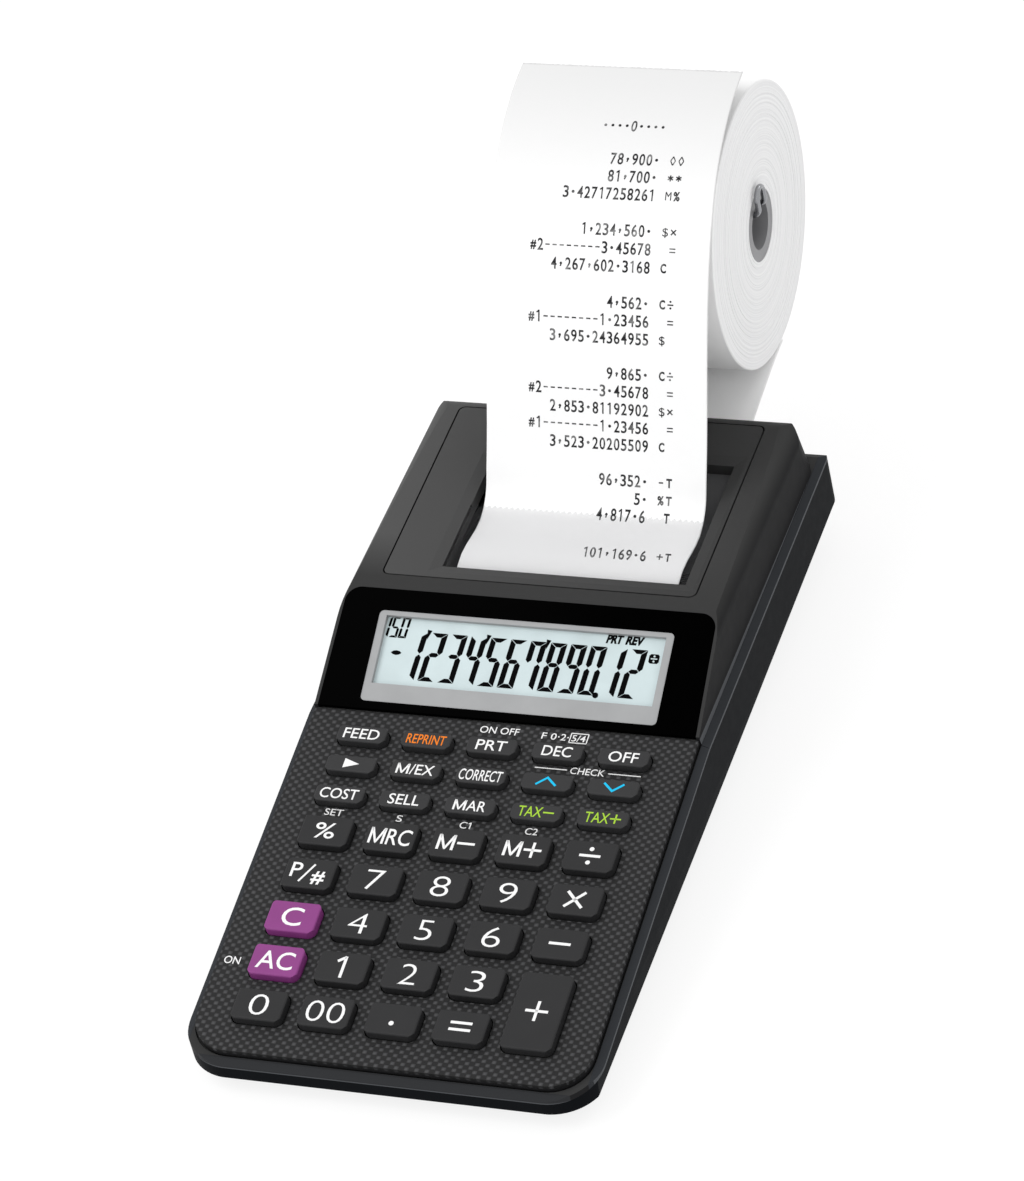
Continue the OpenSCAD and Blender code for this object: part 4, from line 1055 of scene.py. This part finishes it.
def set_world():
    """Even light from all sides, which the camera sees as white."""
    world = bpy.data.worlds.new("studio")
    bpy.context.scene.world = world
    world.use_nodes = True
    tree = world.node_tree
    lit = tree.nodes["Background"]
    lit.inputs["Color"].default_value = (1, 1, 1, 1)
    lit.inputs["Strength"].default_value = WORLD_LIGHT
    white = tree.nodes.new("ShaderNodeBackground")
    white.inputs["Color"].default_value = (1, 1, 1, 1)
    white.inputs["Strength"].default_value = 1.0
    shown = white_for_camera(tree, lit.outputs[0], white.outputs[0])
    tree.links.new(shown, tree.nodes["World Output"].inputs["Surface"])


def set_floor():
    """A pale floor, which the camera sees as white with faint shadows."""
    half = FLOOR_HALF
    mesh = bpy.data.meshes.new("floor")
    mesh.from_pydata([(-half, -half, 0), (half, -half, 0), (half, half, 0), (-half, half, 0)], [],
                     [(0, 1, 2, 3)])
    floor = bpy.data.objects.new("floor", mesh)
    bpy.context.scene.collection.objects.link(floor)
    material = bpy.data.materials.new("floor")
    material.use_nodes = True
    tree = material.node_tree
    tree.nodes.remove(tree.nodes["Principled BSDF"])
    lit, seen = (tree.nodes.new("ShaderNodeBsdfDiffuse") for _ in range(2))
    lit.inputs["Color"].default_value = (FLOOR_LIT, FLOOR_LIT, FLOOR_LIT, 1)
    seen.inputs["Color"].default_value = (FLOOR_SEEN, FLOOR_SEEN, FLOOR_SEEN, 1)
    glow = tree.nodes.new("ShaderNodeEmission")
    glow.inputs["Strength"].default_value = FLOOR_GLOW
    both = tree.nodes.new("ShaderNodeAddShader")
    tree.links.new(seen.outputs[0], both.inputs[0])
    tree.links.new(glow.outputs[0], both.inputs[1])
    shown = white_for_camera(tree, lit.outputs[0], both.outputs[0])
    tree.links.new(shown, tree.nodes["Material Output"].inputs["Surface"])
    mesh.materials.append(material)


def add_lamp(name, place, target, size, watts):
    data = bpy.data.lights.new(name, "AREA")
    data.shape, data.size, data.energy = "DISK", size, watts
    lamp = bpy.data.objects.new(name, data)
    bpy.context.scene.collection.objects.link(lamp)
    lamp.location = place
    lamp.rotation_euler = (Vector(target) - Vector(place)).to_track_quat("-Z", "Y").to_euler()


# ---------------------------------------------------------------- putting it together
def dress_nodes():
    """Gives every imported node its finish."""
    dark = (14, 16, 19)
    finishes = {
        "lower_case": moulded("lower_shell", dark, 0.5, 0.02),
        "upper_case": upper_shell_shader(),
        "keyboard_panel": panel_shader(),
        "display_bezel": moulded("gloss_black", (1, 1, 1), 0.1, 0.004, 2.0, 0.002),
        "lcd_frame": moulded("frame_silver", (160, 161, 162), 0.5, 0.12, 0.3, 0.003),
        "lcd_panel": moulded("lcd_cell", (198, 212, 214), 0.3, 0.12, 3.0, 0.001),
        "printer_cover": cover_shader(),
        "paper_cutter": clear_shader(),
        "keypad_membrane": moulded("silicone", (190, 190, 184), 0.6),
        "circuit_board": moulded("board", (18, 72, 40), 0.45, 0.4, 1.2, 0.01),
        "printer_frame": moulded("frame_plastic", (78, 78, 79), 0.55, 0.1, 0.25, 0.012),
        "feed_roller": moulded("roller_rubber", (38, 38, 39), 0.8, 0.15, 0.4, 0.02),
        "print_carriage": moulded("carriage_plastic", (206, 206, 200), 0.5),
        "roll_core": moulded("core_plastic", (140, 140, 142), 0.45, 0.35, 0.5, 0.01),
        "paper_holder": moulded("wire", (148, 149, 152), 0.25, 0.5, 1.0, 0.002, Metallic=1.0),
        "battery_cover": moulded("door_plastic", dark, 0.5, 0.02),
        "batteries": moulded("battery_jacket", (170, 150, 70), 0.35, 0.5, 3.0, 0.002),
        "rubber_feet": moulded("foot_rubber", (22, 22, 22), 0.85, 0.15, 0.3, 0.02),
        "case_screws": moulded("screw_steel", (150, 150, 152), 0.35, 0.5, 0.4, 0.004, Metallic=1.0),
    }
    large = moulded("key_plastic", (38, 38, 39), 0.5, 0.2, 0.3, 0.005)
    small = moulded("small_key_plastic", (47, 47, 48), 0.5, 0.2, 0.3, 0.005)
    purple = moulded("clear_key_plastic", (134, 58, 126), 0.5, 0.28, 0.3, 0.005)
    finishes["key_clear"] = finishes["key_all_clear"] = purple
    for node, obj in frame["nodes"].items():
        finish = finishes.get(node)  # none for the paper, which scene pieces replace
        if finish is None and node.startswith("key_"):
            low, high = DECK.box(node)
            finish = small if high[1] - low[1] < SMALL_KEY_L else large
        obj.data.materials.clear()
        obj.data.materials.append(finish)


def main():
    set_camera()
    set_world()
    set_floor()
    for lamp in LAMPS:
        add_lamp(*lamp)
    dress_nodes()
    inks = {
        WHITE: ink_shader(WHITE, (240, 240, 240)),
        ORANGE: ink_shader(ORANGE, (240, 128, 28)),
        GREEN: ink_shader(GREEN, (164, 205, 57)),
        CYAN: ink_shader(CYAN, (12, 190, 236)),
        "ink_lcd": ink_shader("ink_lcd", (5, 5, 6), roughness=0.6, specular=0.02),
        "ink_paper": ink_shader("ink_paper", (38, 38, 40), fade=0.4, roughness=0.7),
    }
    key_legends(inks)
    panel_legends(inks)
    display_marks(inks)
    path = PaperPath()
    # the end colour of the paper is painted shade on its torn end
    paper_sheet(path, paper_shader("paper", 249, end=221).material)
    paper_print(path, inks)
    wound_roll(roll_shader())


main()
scene = bpy.context.scene
scene.view_settings.view_transform = "Standard"
